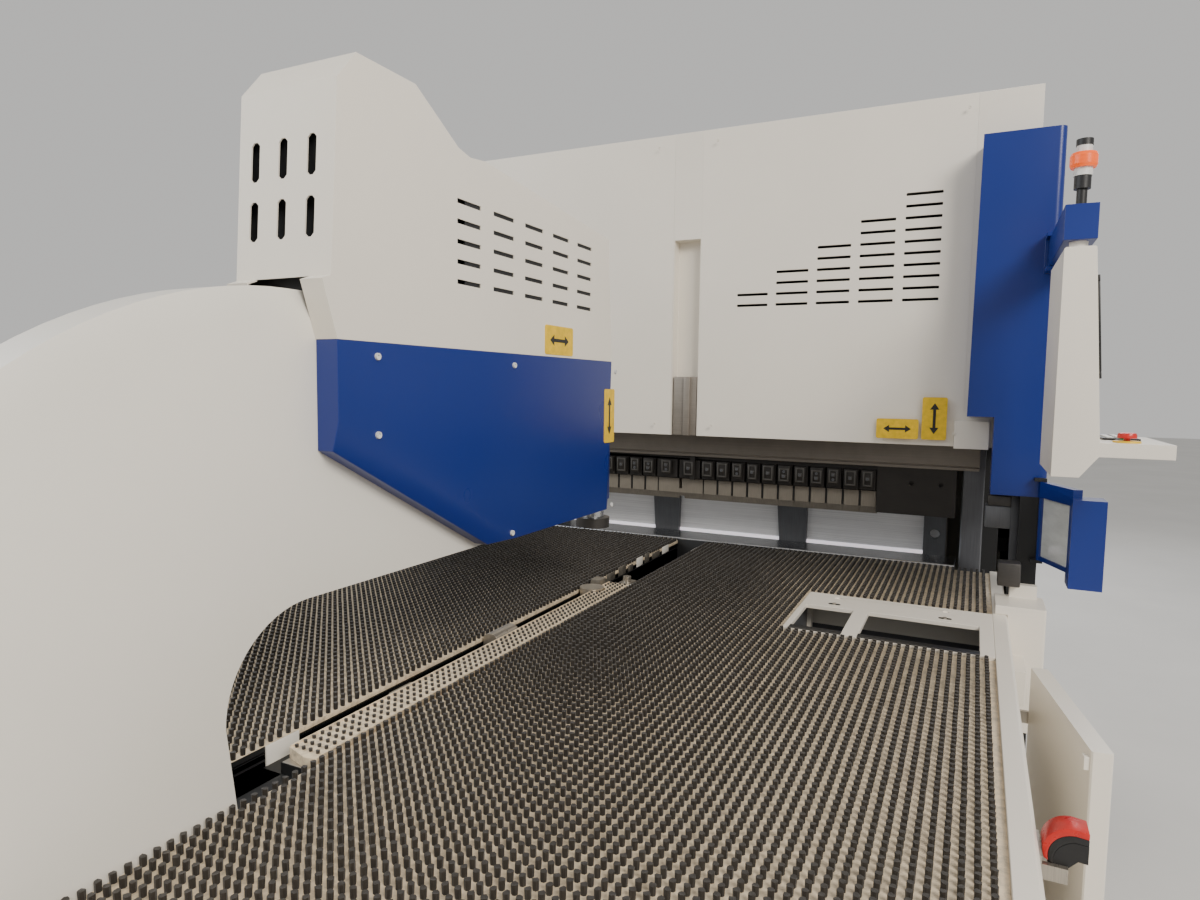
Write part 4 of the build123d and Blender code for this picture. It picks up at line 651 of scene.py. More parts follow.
def build_tufts(name, columns, rows, foot, radius, height, body, skip):
    """A field of tufts on a square grid, each one a little turned and leaning."""
    sides = bpy.context.scene.bender_sizes.tuft_sides
    rng = random.Random(name)
    patterns = [tuft_pattern(seed, radius, height, sides) for seed in range(TUFT_VARIANTS)]
    bm = bmesh.new()
    for x in columns:
        for y in rows:
            if skip(x, y):
                continue
            tilts = rng.gauss(0.0, TUFT_LEAN), rng.gauss(0.0, TUFT_LEAN), rng.uniform(0.0, math.tau)
            lean = Euler(tilts).to_matrix().to_4x4()
            stamp(bm, rng.choice(patterns), Matrix.Translation((x, y, foot)) @ lean)
    for pattern in patterns:
        bpy.data.meshes.remove(pattern)
    finished(bm, name, "bristle", body, crease=50.0)


def steps(low, high, pitch):
    """Evenly spaced places that fill a length, centred in it."""
    count = int((high - low) / pitch)
    start = (low + high - (count - 1) * pitch) / 2
    return [start + index * pitch for index in range(count)]


def build_bed(side):
    """One mat with its tufts; the right mat is cut out round the pocket."""
    sizes = bpy.context.scene.bender_sizes
    word = "right" if side > 0 else "left"
    node = word + "_brush_field"
    low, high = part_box(node)
    mat_top = high.z - sizes.tuft_height
    pocket_low, pocket_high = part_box("pocket_frame")
    inner, outer = (low.x, high.x) if side > 0 else (high.x, low.x)
    outline = [(inner, low.y), (outer, low.y), (outer, high.y), (inner, high.y)]
    if side > 0:
        outline[2:2] = [(outer, pocket_low.y), (pocket_low.x, pocket_low.y),
                        (pocket_low.x, pocket_high.y), (outer, pocket_high.y)]
    bm = bmesh.new()
    points = [(x, y, 0.0) for x, y in outline]
    add_outline(bm, points, (0.0, 0.0, low.z), (0.0, 0.0, mat_top - low.z), MAT_BEVEL)
    finished(bm, word + "_brush_mat", "brush_mat", "base", (node,))
    pitch = sizes.tuft_spacing
    columns = [side * (abs(inner) + BED_MARGIN + index * pitch)
               for index in range(1 + int((abs(outer - inner) - 2 * BED_MARGIN) / pitch))]
    rows = steps(low.y, high.y, pitch)
    reach = pitch * 0.3

    def in_pocket(x, y):
        return (side > 0 and x > pocket_low.x - reach
                and pocket_low.y - reach < y < pocket_high.y + reach)

    thirds = [rows[index * len(rows) // 3:(index + 1) * len(rows) // 3] for index in range(3)]
    for part, some in zip(("near", "middle", "far"), thirds):
        build_tufts(f"{word}_tufts_{part}", columns, some, mat_top - 0.0005, sizes.tuft_radius,
                    sizes.tuft_height, "base", in_pocket)


# Slot and pocket

# Part of the slot's length that has clips along its edges
CLIPS_NEAR, CLIPS_FAR = -0.98, -0.30


def build_slot_strip():
    """Narrow plate in the slot with four rows of short tufts, notched round the lower disc."""
    low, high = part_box("strip_brushes")
    spacing = bpy.context.scene.bender_sizes.tuft_spacing
    mat_top = high.z - 0.006
    disc_low, disc_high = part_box("lower_disc")
    disc = (disc_low + disc_high) / 2
    clear = (disc_high.x - disc_low.x) / 2 + 0.004
    reach = math.acos((low.x - disc.x) / clear)
    notch = [(disc.x + clear * math.cos(angle), disc.y + clear * math.sin(angle))
             for angle in (reach - reach * index / 8 for index in range(17))]
    outline = [(low.x, low.y + 0.016), (high.x - 0.022, low.y), (high.x, low.y + 0.004), (high.x, high.y),
               (low.x, high.y), *notch]
    points = [(x, y, 0.0) for x, y in outline]
    bm = bmesh.new()
    add_outline(bm, points, (0.0, 0.0, low.z), (0.0, 0.0, mat_top - low.z), MAT_BEVEL)
    lip_start = low.y + 0.018
    for x, near, far in ((high.x - 0.003, lip_start, high.y), (low.x, lip_start, notch[-1][1] - 0.001),
                         (low.x, notch[0][1] + 0.001, high.y)):
        add_slab(bm, (x, near, mat_top - 0.002), (x + 0.003, far, mat_top + 0.0025), MAT_BEVEL)
    # The slot plate takes the paler copy of the brush mat: painted light.
    finished(bm, "slot_plate", "strip_mat", "manipulator", ("strip_brushes",))
    margin = 0.004
    columns = steps(low.x + margin, high.x - margin, (high.x - low.x - 2 * margin) / 4)
    rows = steps(low.y + 0.010, high.y, spacing)

    def by_disc(x, y):
        return math.hypot(x - disc.x, y - disc.y) < clear + 0.005

    build_tufts("slot_tufts", columns, rows, mat_top - 0.0003, 0.0033, high.z - mat_top, "manipulator",
                by_disc)


def build_slot_dressing():
    """Walls and floor of the slot in painted shade, dark sheets where there is only shade, with the end
    block, connectors and clips in it.
    """
    low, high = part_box("strip_brushes")
    left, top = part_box("left_brush_field")[1].x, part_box("left_brush_field")[1].z
    right = -left
    bed_low, bed_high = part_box("left_cabinet")
    bed_near = bed_low.y + 0.012
    # Dark side walls and far wall of the slot: painted shade.
    bm = bmesh.new()
    for x0, x1 in ((right, right + 0.0008), (left - 0.0008, left)):
        add_slab(bm, (x0, bed_near, 0.615), (x1, bed_high.y, top - 0.024))
    add_slab(bm, (left, bed_near, top - 0.025), (left + 0.0009, low.y + 0.008, top - 0.0155))
    add_slab(bm, (left, bed_high.y + 0.0015, 0.620), (right, bed_high.y + 0.0045, 0.893), 0.0006)
    finished(bm, "slot_lining", "shade_paint", "base")
    end_block = ((left + 0.0004, low.y + 0.008, 0.80), (left + 0.0045, low.y + 0.082, top - 0.0152))
    slab_piece("slot_end_block", "cream_paint", "base", [end_block], 0.001)
    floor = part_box("slot_fittings")[0].z
    corner = (left + 0.0065, low.y - 0.142, floor)
    # Dark floor of the slot and a dark plate before the strip's near end: painted shade.
    slab_piece("slot_floor", "shade_paint", "manipulator", [
        (corner, (low.x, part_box("lower_disc")[0].y - 0.015, floor + 0.001)),
        (corner, (right - 0.0065, low.y - 0.002, floor + 0.001)),
        ((low.x - 0.001, low.y - 0.002, floor), (high.x - 0.001, low.y - 0.0005, low.z - 0.0005)),
    ])
    bm = bmesh.new()
    for index, (near, far, tall) in enumerate(((-1.80, -1.742, 0.022), (-1.872, -1.822, 0.012),
                                               (-1.735, -1.715, 0.016))):
        add_slab(bm, (low.x - 0.032, near, floor), (low.x - 0.006, far, floor + tall), 0.003, finish=index)
    finished(bm, "slot_connectors", ("blue_plastic", "red_plastic", "white_plastic"), "manipulator")
    rng = random.Random(8)
    bm = bmesh.new()
    for x0, x1 in ((left, left + 0.0012), (right - 0.004, right)):
        y = CLIPS_NEAR
        while y < CLIPS_FAR:
            reach = rng.uniform(0.03, 0.09)
            clip_top = rng.uniform(0.884, 0.897)
            add_slab(bm, (x0, y, 0.862), (x1, y + reach, clip_top), 0.0006, finish=rng.choice((0, 0, 1)))
            y += reach + rng.uniform(0.015, 0.05)
    finished(bm, "slot_clips", ("ground_steel", "cream_paint"), "base")


def build_pocket():
    """Lining, edge seal and slotted places of the pocket; below a pale band the lining is dark, a painted
    shade.
    """
    low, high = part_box("pocket_frame")
    lining_top, shade = high.z - 0.036, high.z - 0.097
    bm = bmesh.new()
    # Pale band at the top of the far wall; below it, and on the floor and side walls, dark paint is a painted
    # shade in the pocket.
    add_slab(bm, (low.x, high.y - 0.002, shade), (high.x, high.y + 0.0005, lining_top), finish=1)
    add_slab(bm, (low.x, high.y - 0.002, low.z + 0.0004), (high.x, high.y + 0.0005, shade))
    add_slab(bm, (low.x, low.y, low.z - 0.0004), (high.x, high.y, low.z + 0.0008))
    for x in (low.x, high.x - 0.002):
        add_slab(bm, (x - 0.0003, low.y, low.z), (x + 0.0023, high.y, lining_top))
    finished(bm, "pocket_lining", ("dark_paint", "cream_paint"), "base")
    slots = (low.x + 0.09, high.x - 0.12)
    slot_y, sunk = high.y - 0.112, high.z - 0.0004
    reach, half_width = 0.010, 0.0075
    bm = bmesh.new()
    for x0, x1 in ((low.x + 0.016, low.x + 0.151), (low.x + 0.191, high.x - 0.033)):
        add_slab(bm, (x0, low.y + 0.0005, high.z - 0.0005), (x1, low.y + 0.033, high.z + 0.0008), 0.0003)
    for x in slots:
        for side in (-1, 1):
            add_round(bm, (x + side * reach, slot_y, sunk), UP, half_width, 0.0008, 20)
        add_slab(bm, (x - reach, slot_y - half_width, sunk),
                 (x + reach, slot_y + half_width, high.z + 0.0004))
    finished(bm, "pocket_seal", "black_plastic", "base")
    spots = [(x, slot_y, high.z + 0.0003) for x in slots]
    screws("pocket_screws", spots, UP, SMALL_SCREW, 0.003, "ground_steel", "base")


def build_drive_covers():
    """Covers and terminals of the small drive in the pocket."""
    low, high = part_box("pocket_drive")
    bm = bmesh.new()
    add_slab(bm, (low.x + 0.004, low.y + 0.004, high.z - 0.046),
             (high.x - 0.024, high.y - 0.004, high.z - 0.018), 0.004)
    add_slab(bm, (high.x - 0.022, low.y + 0.008, high.z - 0.060),
             (high.x - 0.002, low.y + 0.044, high.z - 0.012), 0.003, finish=1)
    for y in (low.y + 0.022, high.y - 0.022):
        add_round(bm, (low.x + 0.026, y, high.z - 0.018), UP, 0.007, 0.006, 16, 0.001, finish=2)
    finished(bm, "pocket_drive_covers", ("blue_plastic", "yellow_plastic", "white_plastic"), "base")


# Axis plates

def add_arrow(bm, centre, along, outward, reach, width, thickness):
    """A double-headed arrow that lies on a plate."""
    along, outward = Vector(along), Vector(outward)
    across = outward.cross(along)
    head, shaft = reach * 0.42, width * 0.32
    shape = [(-reach, 0.0), (-reach + head, -width), (-reach + head, -shaft), (reach - head, -shaft),
             (reach - head, -width), (reach, 0.0), (reach - head, width), (reach - head, shaft),
             (-reach + head, shaft), (-reach + head, width)]
    add_outline(bm, [along * u + across * v for u, v in shape], centre, outward * thickness, finish=1)


def build_plate(name, low, high, outward, body, along, reach, width):
    """One yellow plate with rounded corners and a generic motion arrow in its middle."""
    low, high, outward = Vector(low), Vector(high), Vector(outward)
    centre = (low + high) / 2
    rise = outward * bpy.context.scene.bender_sizes.plate_thickness
    if sum(outward) > 0:
        high = high + rise
    else:
        low = low + rise
    bm = bmesh.new()
    add_slab(bm, low, high)
    corners = [edge for edge in bm.edges
               if abs((edge.verts[0].co - edge.verts[1].co).normalized().dot(outward)) > 0.9]
    round_edges(bm, corners, 0.006, 3)
    add_arrow(bm, centre + rise, along, outward, reach, width, 0.0004)
    finished(bm, name, ("plate_yellow", "plate_black"), body)


def build_plates():
    """Yellow plates on the hood's front and on the head."""
    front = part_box("hood_fronts")[0].y
    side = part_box("head_lower_cover")[1].x
    right, along = (1.0, 0.0, 0.0), (0.0, 1.0, 0.0)
    build_plate("hood_plate_low", (0.717, front, 1.357), (0.857, front, 1.427), TO_FRONT, "base",
                right, 0.046, 0.013)
    build_plate("hood_plate_tall", (0.867, front, 1.357), (0.947, front, 1.505), TO_FRONT, "base",
                UP, 0.054, 0.015)
    build_plate("head_plate_low", (side, -1.2575, 1.37), (side, -1.1925, 1.52), right, "manipulator",
                UP, 0.052, 0.013)
    build_plate("head_plate_high", (side, -1.5875, 1.602), (side, -1.4475, 1.672), right, "manipulator",
                along, 0.046, 0.013)


# Screws

# Places of the screws on each side of the head's lower cover, along the travel and in height
HEAD_SCREWS = ((-2.159, 1.5725), (-2.159, 1.4375), (-1.7225, 1.571), (-1.729, 1.195), (-1.189, 1.569),
               (-1.204, 1.19))


def build_cover_screws():
    """Screws of the head's lower cover and of the hood's front."""
    radius = bpy.context.scene.bender_sizes.cover_screw
    low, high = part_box("head_lower_cover")
    for word, x, outward in (("right", high.x, (1.0, 0.0, 0.0)), ("left", low.x, (-1.0, 0.0, 0.0))):
        screws(f"head_cover_screws_{word}", [(x, y, z) for y, z in HEAD_SCREWS], outward, radius, 0.004,
               "white_plastic", "manipulator")
    low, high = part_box("hood_fronts")
    spots = [(x, low.y, z) for x in (-0.97, -0.14, 0.10, 0.97) for z in (low.z + 0.05, high.z - 0.05)]
    screws("hood_front_screws", spots, TO_FRONT, radius * 0.8, 0.003, "white_paint", "base")


def build_clamp_screws():
    """Wedge blocks of three kinds on the faces of the tool clamps, with their screws."""
    radius = bpy.context.scene.bender_sizes.clamp_screw
    low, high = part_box("tool_clamps")
    face, foot, head = low.y, low.z + 0.020, high.z - 0.022
    middle = (foot + head) / 2
    centre_low, centre_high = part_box("centre_tool")
    centres = [centre_high.x + (index + 0.5) * TOOL_PITCH for index in range(TOOLS_RIGHT)]
    centres += [centre_low.x - (index + 0.5) * TOOL_PITCH for index in range(TOOLS_LEFT)]
    centres += [(centre_low.x + centre_high.x) / 2 + share * (centre_high.x - centre_low.x) / 4
                for share in (-1, 1)]
    rng = random.Random(4)
    spots = []
    bm = bmesh.new()

    def block(x0, x1, z0, z1, stand, back=-0.002, bevel=0.001, finish=1):
        """A block that stands out from the clamps' face."""
        add_slab(bm, (x0, face - stand, z0), (x1, face + back, z1), bevel, finish=finish)

    for x in centres:
        kind = rng.randrange(3)
        half = rng.choice((0.017, 0.020))
        rim = half + 0.004
        block(x - rim, x + rim, foot - 0.004, head + 0.004, 0.003, 0.002, finish=0)
        frame_low, frame_high = foot + (0.0, 0.006, 0.0)[kind], head - (0.0, 0.0, 0.006)[kind]
        for side in (-1, 1):
            post = x + side * (half - 0.003)
            block(post - 0.003, post + 0.003, frame_low, frame_high, 0.007)
        for bar in (frame_low + 0.003, frame_high - 0.003):
            block(x - half + 0.004, x + half - 0.004, bar - 0.003, bar + 0.003, 0.0065)
        wedge = middle + (0.0, 0.009, -0.009)[kind]
        block(x - 0.008, x + 0.008, wedge - 0.007, wedge + 0.007, 0.008, bevel=0.0015)
        spots.append((x, face - 0.008, wedge))
        if kind:
            spots.append((x, face - 0.003, middle - (0.0, 0.010, -0.010)[kind]))
    finished(bm, "clamp_wedges", ("clamp_steel", "wedge_steel"), "press")
    screws("clamp_screws", spots, TO_FRONT, radius * 0.7, 0.004, "stay_steel", "press")


# Press and head

def build_tool_slits():
    """Dark reliefs between the upper tool segments, from their shoulders to just above the tip."""
    low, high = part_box("centre_tool")
    face = low.y
    for word, start, side, count in (("right", high.x, 1, TOOLS_RIGHT), ("left", low.x, -1, TOOLS_LEFT)):
        slits = [(start + side * index * TOOL_PITCH, 0.0022) for index in range(1, count)]
        slits.append((start + side * 0.0012, 0.001))
        blocks = [((x - half, face - 0.0005, low.z + 0.030), (x + half, face + 0.003, high.z - 0.002))
                  for x, half in slits]
        body = BODY_OF[word + "_tool_segments"]
        slab_piece(word + "_tool_slits", "plate_black", body, blocks)


def build_web_dressing():
    """Glowing strip at the foot of the blade holder's web, a painted reflection of bright light, and its end
    plates.
    """
    low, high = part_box("blade_frame")
    stays_low, stays_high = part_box("blade_stays")
    web, foot = stays_high.y, stays_low.z
    body = BODY_OF["blade_frame"]
    # Painted reflection: the strip glows to stand in for light reflected at the web's foot.
    strip = ((low.x + 0.085, web - 0.004, foot + 0.002), (high.x - 0.085, web - 0.0004, foot + 0.040))
    slab_piece("web_light_strip", "light_strip", body, [strip], 0.0012)
    slab_piece("blade_end_plates", "dark_steel", body, [
        ((x, web - 0.03, foot - 0.03), (x + 0.0016, high.y - 0.004, high.z - 0.01))
        for x in (low.x - 0.0012, high.x - 0.0004)
    ])


def build_hood_dressing():
    """Guide in the hood's recess, and dark sheets inside the hood's ends: painted shade."""
    low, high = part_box("hood_recess")
    guide_top = low.z + 0.235
    slab_piece("recess_guide", "beam_steel", "base", [
        ((low.x + 0.008, low.y + 0.006, low.z), (high.x - 0.008, high.y - 0.004, guide_top)),
        ((low.x + 0.055, low.y - 0.006, low.z), (low.x + 0.082, low.y + 0.010, guide_top)),
    ], 0.003)
    low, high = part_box("hood_shell")
    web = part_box("blade_stays")[1].y
    wall, sheet = 0.0046, 0.0008
    # Dark sheets inside the hood's ends: painted shade behind the openings.
    slab_piece("hood_lining", "shade_paint", "base", [
        ((x, web + 0.11, low.z + 0.006), (x + sheet, high.y - 0.030, 1.325))
        for x in (low.x + wall, high.x - wall - sheet)
    ])


def build_corner_dressing():
    """Angle and block beside the corner post, and the head of the squaring box."""
    low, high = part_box("corner_post")
    back = high.y - 0.020
    angle = ((low.x - 0.002, back - 0.006, 0.013), (low.x + 0.026, back + 0.006, 1.192))
    slab_piece("post_angle", "dark_paint", "base", [angle], 0.0015)
    bm = bmesh.new()
    add_slab(bm, (low.x - 0.077, back - 0.001, 1.078), (low.x + 0.022, back + 0.084, 1.150), 0.003)
    add_slab(bm, (low.x - 0.070, back + 0.006, 1.148), (low.x + 0.018, back + 0.070, 1.184), 0.002, finish=1)
    finished(bm, "post_block", ("stay_steel", "dark_steel"), "base")
    low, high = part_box("squaring_box")
    head = ((low.x + 0.004, high.y - 0.060, high.z - 0.002), (low.x + 0.064, high.y - 0.006, high.z + 0.068))
    slab_piece("squaring_head", "dark_steel", "base", [head], 0.004)


def build_vent_linings():
    """Dark sheets behind the vents of the head: painted shade, where there is only shade."""
    low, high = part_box("head_hood")
    # Dark sheets of shade paint behind the vents: painted shade.
    shade_sheets = [((low.x + 0.0025, low.y + 0.045, low.z + 0.033),
                (high.x - 0.0025, low.y + 0.048, high.z - 0.064))]
    shade_sheets += [((near, high.y - 0.69, low.z + 0.035), (far, high.y - 0.04, high.z - 0.142))
                for near, far in ((low.x + 0.0028, low.x + 0.006), (high.x - 0.006, high.x - 0.0028))]
    slab_piece("vent_linings", "shade_paint", "manipulator", shade_sheets)


# Plain sides

def cover_panels(name, axis, face, outward, panels):
    """Shallow cover panels with screws in their corners, on a flat side across one axis; each panel runs from
    u0 to u1 along the side and from v0 to v1 in height."""
    edge = face + 0.002 * outward
    near, far = sorted((face, edge))
    inset = 0.03
    bm = bmesh.new()
    spots = []
    for u0, u1, v0, v1 in panels:
        low, high = ((near, u0, v0), (far, u1, v1)) if axis == "x" else ((u0, near, v0), (u1, far, v1))
        add_slab(bm, low, high, 0.0009)
        corners = [(u, v) for u in (u0 + inset, u1 - inset) for v in (v0 + inset, v1 - inset)]
        spots += [(edge, u, v) if axis == "x" else (u, edge, v) for u, v in corners]
    finished(bm, name, "white_paint", "base")
    way = (outward, 0.0, 0.0) if axis == "x" else (0.0, outward, 0.0)
    screws(name + "_screws", spots, way, SMALL_SCREW, 0.0025, "ground_steel", "base")


def build_side_panels():
    """Cover panels on the sides and ends of the cabinets; the last one on the right is low."""
    gap, last_end = 0.006, -0.30
    for node, outward, joints, last_start, last_top in (("left_cabinet", -1.0, (-1.95, -1.1), -1.1, None),
                                                        ("right_cabinet", 1.0, (-1.9, -1.53), -0.98, 0.52)):
        low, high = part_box(node)
        foot, top = low.z + 0.05, high.z - 0.07
        ends = (low.y + 0.05, *joints)
        panels = [(start + gap, end - gap, foot, top) for start, end in zip(ends, ends[1:])]
        panels.append((last_start + gap, last_end, foot, last_top or top))
        cover_panels(node + "_side_panels", "x", low.x if outward < 0 else high.x, outward, panels)
        x0, x1 = low.x + 0.05, high.x - 0.05
        middle = (x0 + x1) / 2
        panels = [(x0, middle - gap, foot, top), (middle + gap, x1, foot, top)]
        cover_panels(node + "_end_panels", "y", low.y, -1.0, panels)


def build_hood_ends():
    """Cover panels on the ends of the hood, with their hinges and locks."""
    low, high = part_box("hood_shell")
    bm = bmesh.new()
    for word, face, outward in (("left", low.x, -1.0), ("right", high.x, 1.0)):
        panels = [(0.42, 1.18, 0.22, 1.12), (0.42, 1.18, 1.20, 2.44)]
        cover_panels("hood_end_panels_" + word, "x", face, outward, panels)
        near, far = sorted((face + outward * 0.002, face + outward * 0.016))
        for hinge in (0.36, 0.96, 1.40, 2.24):
            add_slab(bm, (near, 1.165, hinge - 0.03), (far, 1.190, hinge + 0.03), 0.002)
        for lock in (0.67, 1.82):
            add_slab(bm, (near, 0.46, lock - 0.055), (far, 0.49, lock + 0.055), 0.004)
    finished(bm, "hood_end_fittings", "black_plastic", "base")


# Side lever

def arc_through(first, middle, last, count=14):
    """Points of the arc that runs clockwise through three points of a flat outline."""
    (ax, az), (bx, bz), (cx, cz) = first, middle, last
    cross = 2.0 * (ax * (bz - cz) + bx * (cz - az) + cx * (az - bz))
    squares = ax * ax + az * az, bx * bx + bz * bz, cx * cx + cz * cz
    hub_x = (squares[0] * (bz - cz) + squares[1] * (cz - az) + squares[2] * (az - bz)) / cross
    hub_z = (squares[0] * (cx - bx) + squares[1] * (ax - cx) + squares[2] * (bx - ax)) / cross
    radius = math.hypot(ax - hub_x, az - hub_z)
    start = math.atan2(az - hub_z, ax - hub_x) % math.tau
    end = math.atan2(cz - hub_z, cx - hub_x) % math.tau
    angles = [start + (end - start) * index / (count - 1) for index in range(count)]
    return [(hub_x + radius * math.cos(angle), hub_z + radius * math.sin(angle)) for angle in angles]


def build_lever():
    """Red cap of the side lever and its black lining, an arch each, between three arcs."""
    low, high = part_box("lever_cover")
    origin = Vector((high.x - 0.062, low.y, high.z - 0.018))
    width = (0.0, high.y - low.y, 0.0)
    end, end_top, end_middle, end_foot = 0.062, 0.016, 0.007, -0.002
    outer = arc_through((0.008, -0.032), (0.016, 0.006), (0.046, 0.018))
    between = arc_through((0.014, -0.035), (0.0225, -0.002), (0.046, 0.0085))
    inner = arc_through((0.020, -0.038), (0.029, -0.010), (0.046, -0.001))
    for name, finish, over, under, ends in (
            ("lever_cap", "red_plastic", outer, between, ((end, end_top), (end, end_middle))),
            ("lever_lining", "black_plastic", between, inner, ((end, end_middle), (end, end_foot)))):
        bm = bmesh.new()
        points = [(x, 0.0, z) for x, z in (*over, *ends, *reversed(under))]
        add_outline(bm, points, origin, width, 0.0012)
        finished(bm, name, finish, BODY_OF["lever_cover"], ("lever_cover",))


# Pendant

def build_screen():
    """Bezel round the screen and a plain layout on it, drawn flat and then turned to its slope."""
    display = NODES["console_screen"].data
    fronts = [face for face in display.polygons if face.normal.x > 0.5]
    outward = max(fronts, key=lambda face: face.area).normal.copy()
    across = Vector((0.0, 1.0, 0.0))
    slope = Matrix((across, outward.cross(across), outward)).transposed()
    spots = [slope.transposed() @ vert.co for vert in display.vertices]
    left, foot, _ = (min(spot[axis] for spot in spots) for axis in range(3))
    right, head, face = (max(spot[axis] for spot in spots) for axis in range(3))
    edge, lap = 0.012, 0.004
    bm = bmesh.new()
    for x0, x1, y0, y1 in ((left - edge, right + edge, foot - edge, foot + lap),
                           (left - edge, right + edge, head - lap, head + edge),
                           (left - edge, left + lap, foot + lap, head - lap),
                           (right - lap, right + edge, foot + lap, head - lap)):
        add_slab(bm, (x0, y0, face - 0.002), (x1, y1, face + 0.004), 0.0012)
    bm.transform(slope.to_4x4())
    finished(bm, "screen_bezel", "black_plastic", "console")
    film = face + 0.0004
    bm = bmesh.new()
    add_slab(bm, (left + 0.016, head - 0.034, face), (right - 0.016, head - 0.018, film))
    add_slab(bm, (left + 0.016, foot + 0.050, face), (left + 0.165, head - 0.042, film), finish=1)
    for row in range(5):
        y = head - 0.064 - row * 0.024
        add_slab(bm, (left + 0.176, y, face), (right - 0.016, y + 0.015, film), finish=row % 2)
    for key in range(6):
        x = left + 0.018 + key * 0.043
        add_slab(bm, (x, foot + 0.016, face), (x + 0.034, foot + 0.038, film), finish=1)
    bm.transform(slope.to_4x4())
    finished(bm, "screen_layout", ("screen_light", "screen_grey"), "console")


def build_keys():
    """Three rows of white keys beside the screen, one of them blue."""
    low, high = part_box("console_controls")
    near = high.y - 0.190
    blue_key = (0, 6)
    bm = bmesh.new()
    for row in range(3):
        for column in range(7):
            x = low.x + 0.012 + row * 0.022
            y = near + 0.014 + column * 0.0225
            add_slab(bm, (x, y, high.z - 0.001), (x + 0.014, y + 0.015, high.z + 0.0025), 0.001,
                     finish=1 if (row, column) == blue_key else 0)
    finished(bm, "console_keys", ("white_plastic", "blue_plastic"), "console")


def build_buttons():
    """Stop button and start button, each a head on a stem, and the stop button's yellow ring."""
    for node, finish, dome, thick, body in (("stop_button", "red_plastic", 0.006, 0.013, "stop"),
                                            ("start_button", "green_plastic", 0.003, 0.0055, "start")):
        low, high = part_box(node)
        middle = (low + high) / 2
        foot = high.z - thick
        bm = bmesh.new()
        add_round(bm, (middle.x, middle.y, low.z), UP, 0.0068, foot - low.z + 0.001, 20)
        add_round(bm, (middle.x, middle.y, foot), UP, (high.x - low.x) / 2, high.z - foot, 40, dome)
        finished(bm, node + "_head", finish, body, (node,))
    low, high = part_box("stop_button")
    middle = (low + high) / 2
    bm = bmesh.new()
    ring_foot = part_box("console_controls")[1].z - 0.005
    add_round(bm, (middle.x, middle.y, ring_foot), UP, 0.029, 0.0045, 40, 0.0015)
    finished(bm, "stop_ring", "yellow_plastic", "console")


def build_tower_light():
    """Lens of the tower light, with a narrower foot and top."""
    low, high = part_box("lamp_lens")
    middle = (low + high) / 2
    radius = (high.x - low.x) / 2
    narrow = radius - 0.003
    tall = high.z - low.z
    bm = bmesh.new()
    for foot, share, base, top in ((0.0, 0.2, narrow, radius), (0.2, 0.6, radius, radius),
                                   (0.8, 0.2, radius, narrow)):
        add_round(bm, (middle.x, middle.y, low.z + foot * tall), UP, base, share * tall, 40, 0.0, top)
    finished(bm, "tower_lens", "amber_plastic", "pendant", ("lamp_lens",))


# Stage

# Place of the photograph's camera, and its turn, tilt and roll in degrees
CAMERA_PLACE = (1.036, -3.1875, 1.525)
CAMERA_ANGLES = (25.946, 4.658, -0.7486)
FLOOR_REACH = 30.0


def area_light(name, place, target, size, power, tint):
    """A soft rectangular light that points at a target."""
    lamp = bpy.data.lights.new(name, "AREA")
    lamp.shape = "RECTANGLE"
    lamp.size, lamp.size_y = size
    lamp.energy = power
    lamp.color = tint
    holder = linked(name, lamp)
    holder.location = place
    holder.rotation_euler = (Vector(target) - Vector(place)).to_track_quat("-Z", "Y").to_euler()


def build_floor(base):
    """Plain pale floor with faint clouds."""
    tree, shader, place = start_finish("pale_floor")
    tone = grain(tree, noise(tree, place, scale=0.8, detail=5.0, roughness=0.6), base, 0.93, 1.04)
    tree.links.new(tone, shader.inputs["Base Color"])
    shader.inputs["Roughness"].default_value = 0.6
    bm = bmesh.new()
    bmesh.ops.create_grid(bm, x_segments=1, y_segments=1, size=FLOOR_REACH)
    mesh = bpy.data.meshes.new("studio_floor")
    bm.to_mesh(mesh)
    bm.free()
    mesh.materials.append(FINISHES["pale_floor"])
    linked("studio_floor", mesh)


def build_lights(stage):
    """Soft surrounding light with a warm key light and two cool lights."""
    world = bpy.data.worlds.new("studio")
    world.use_nodes = True
    back = world.node_tree.nodes["Background"]
    back.inputs["Color"].default_value = (*stage.backdrop, 1.0)
    back.inputs["Strength"].default_value = stage.surround
    bpy.context.scene.world = world
    area_light("key_light", (5.2, -5.6, 5.4), (0.2, -1.2, 0.9), (3.2, 2.4), 500.0, (1.0, 0.95, 0.88))
    area_light("fill_light", (-5.0, -4.0, 4.5), (0.0, -1.5, 1.0), (5.0, 4.0), 170.0, (0.90, 0.95, 1.0))
    area_light("back_light", (0.5, 5.0, 4.6), (0.0, 0.5, 1.2), (5.0, 3.0), 170.0, (0.95, 0.97, 1.0))


def build_camera(lens):
    """Camera at the photograph's place and angle."""
    yaw, pitch, roll = (math.radians(angle) for angle in CAMERA_ANGLES)
    ahead = Vector((-math.sin(yaw) * math.cos(pitch), math.cos(yaw) * math.cos(pitch), -math.sin(pitch)))
    right = Vector((math.cos(yaw), math.sin(yaw), 0.0))
    down = ahead.cross(right)
    turned_right = math.cos(roll) * right + math.sin(roll) * down
    turned_down = -math.sin(roll) * right + math.cos(roll) * down
    turn = Matrix((turned_right, -turned_down, -ahead)).transposed().to_4x4()
    view = bpy.data.cameras.new("photo_view")
    view.sensor_width = 36.0
    view.lens = lens
    view.clip_start = 0.05
    camera = linked("photo_view", view)
    camera.matrix_world = Matrix.Translation(CAMERA_PLACE) @ turn
    bpy.context.scene.camera = camera


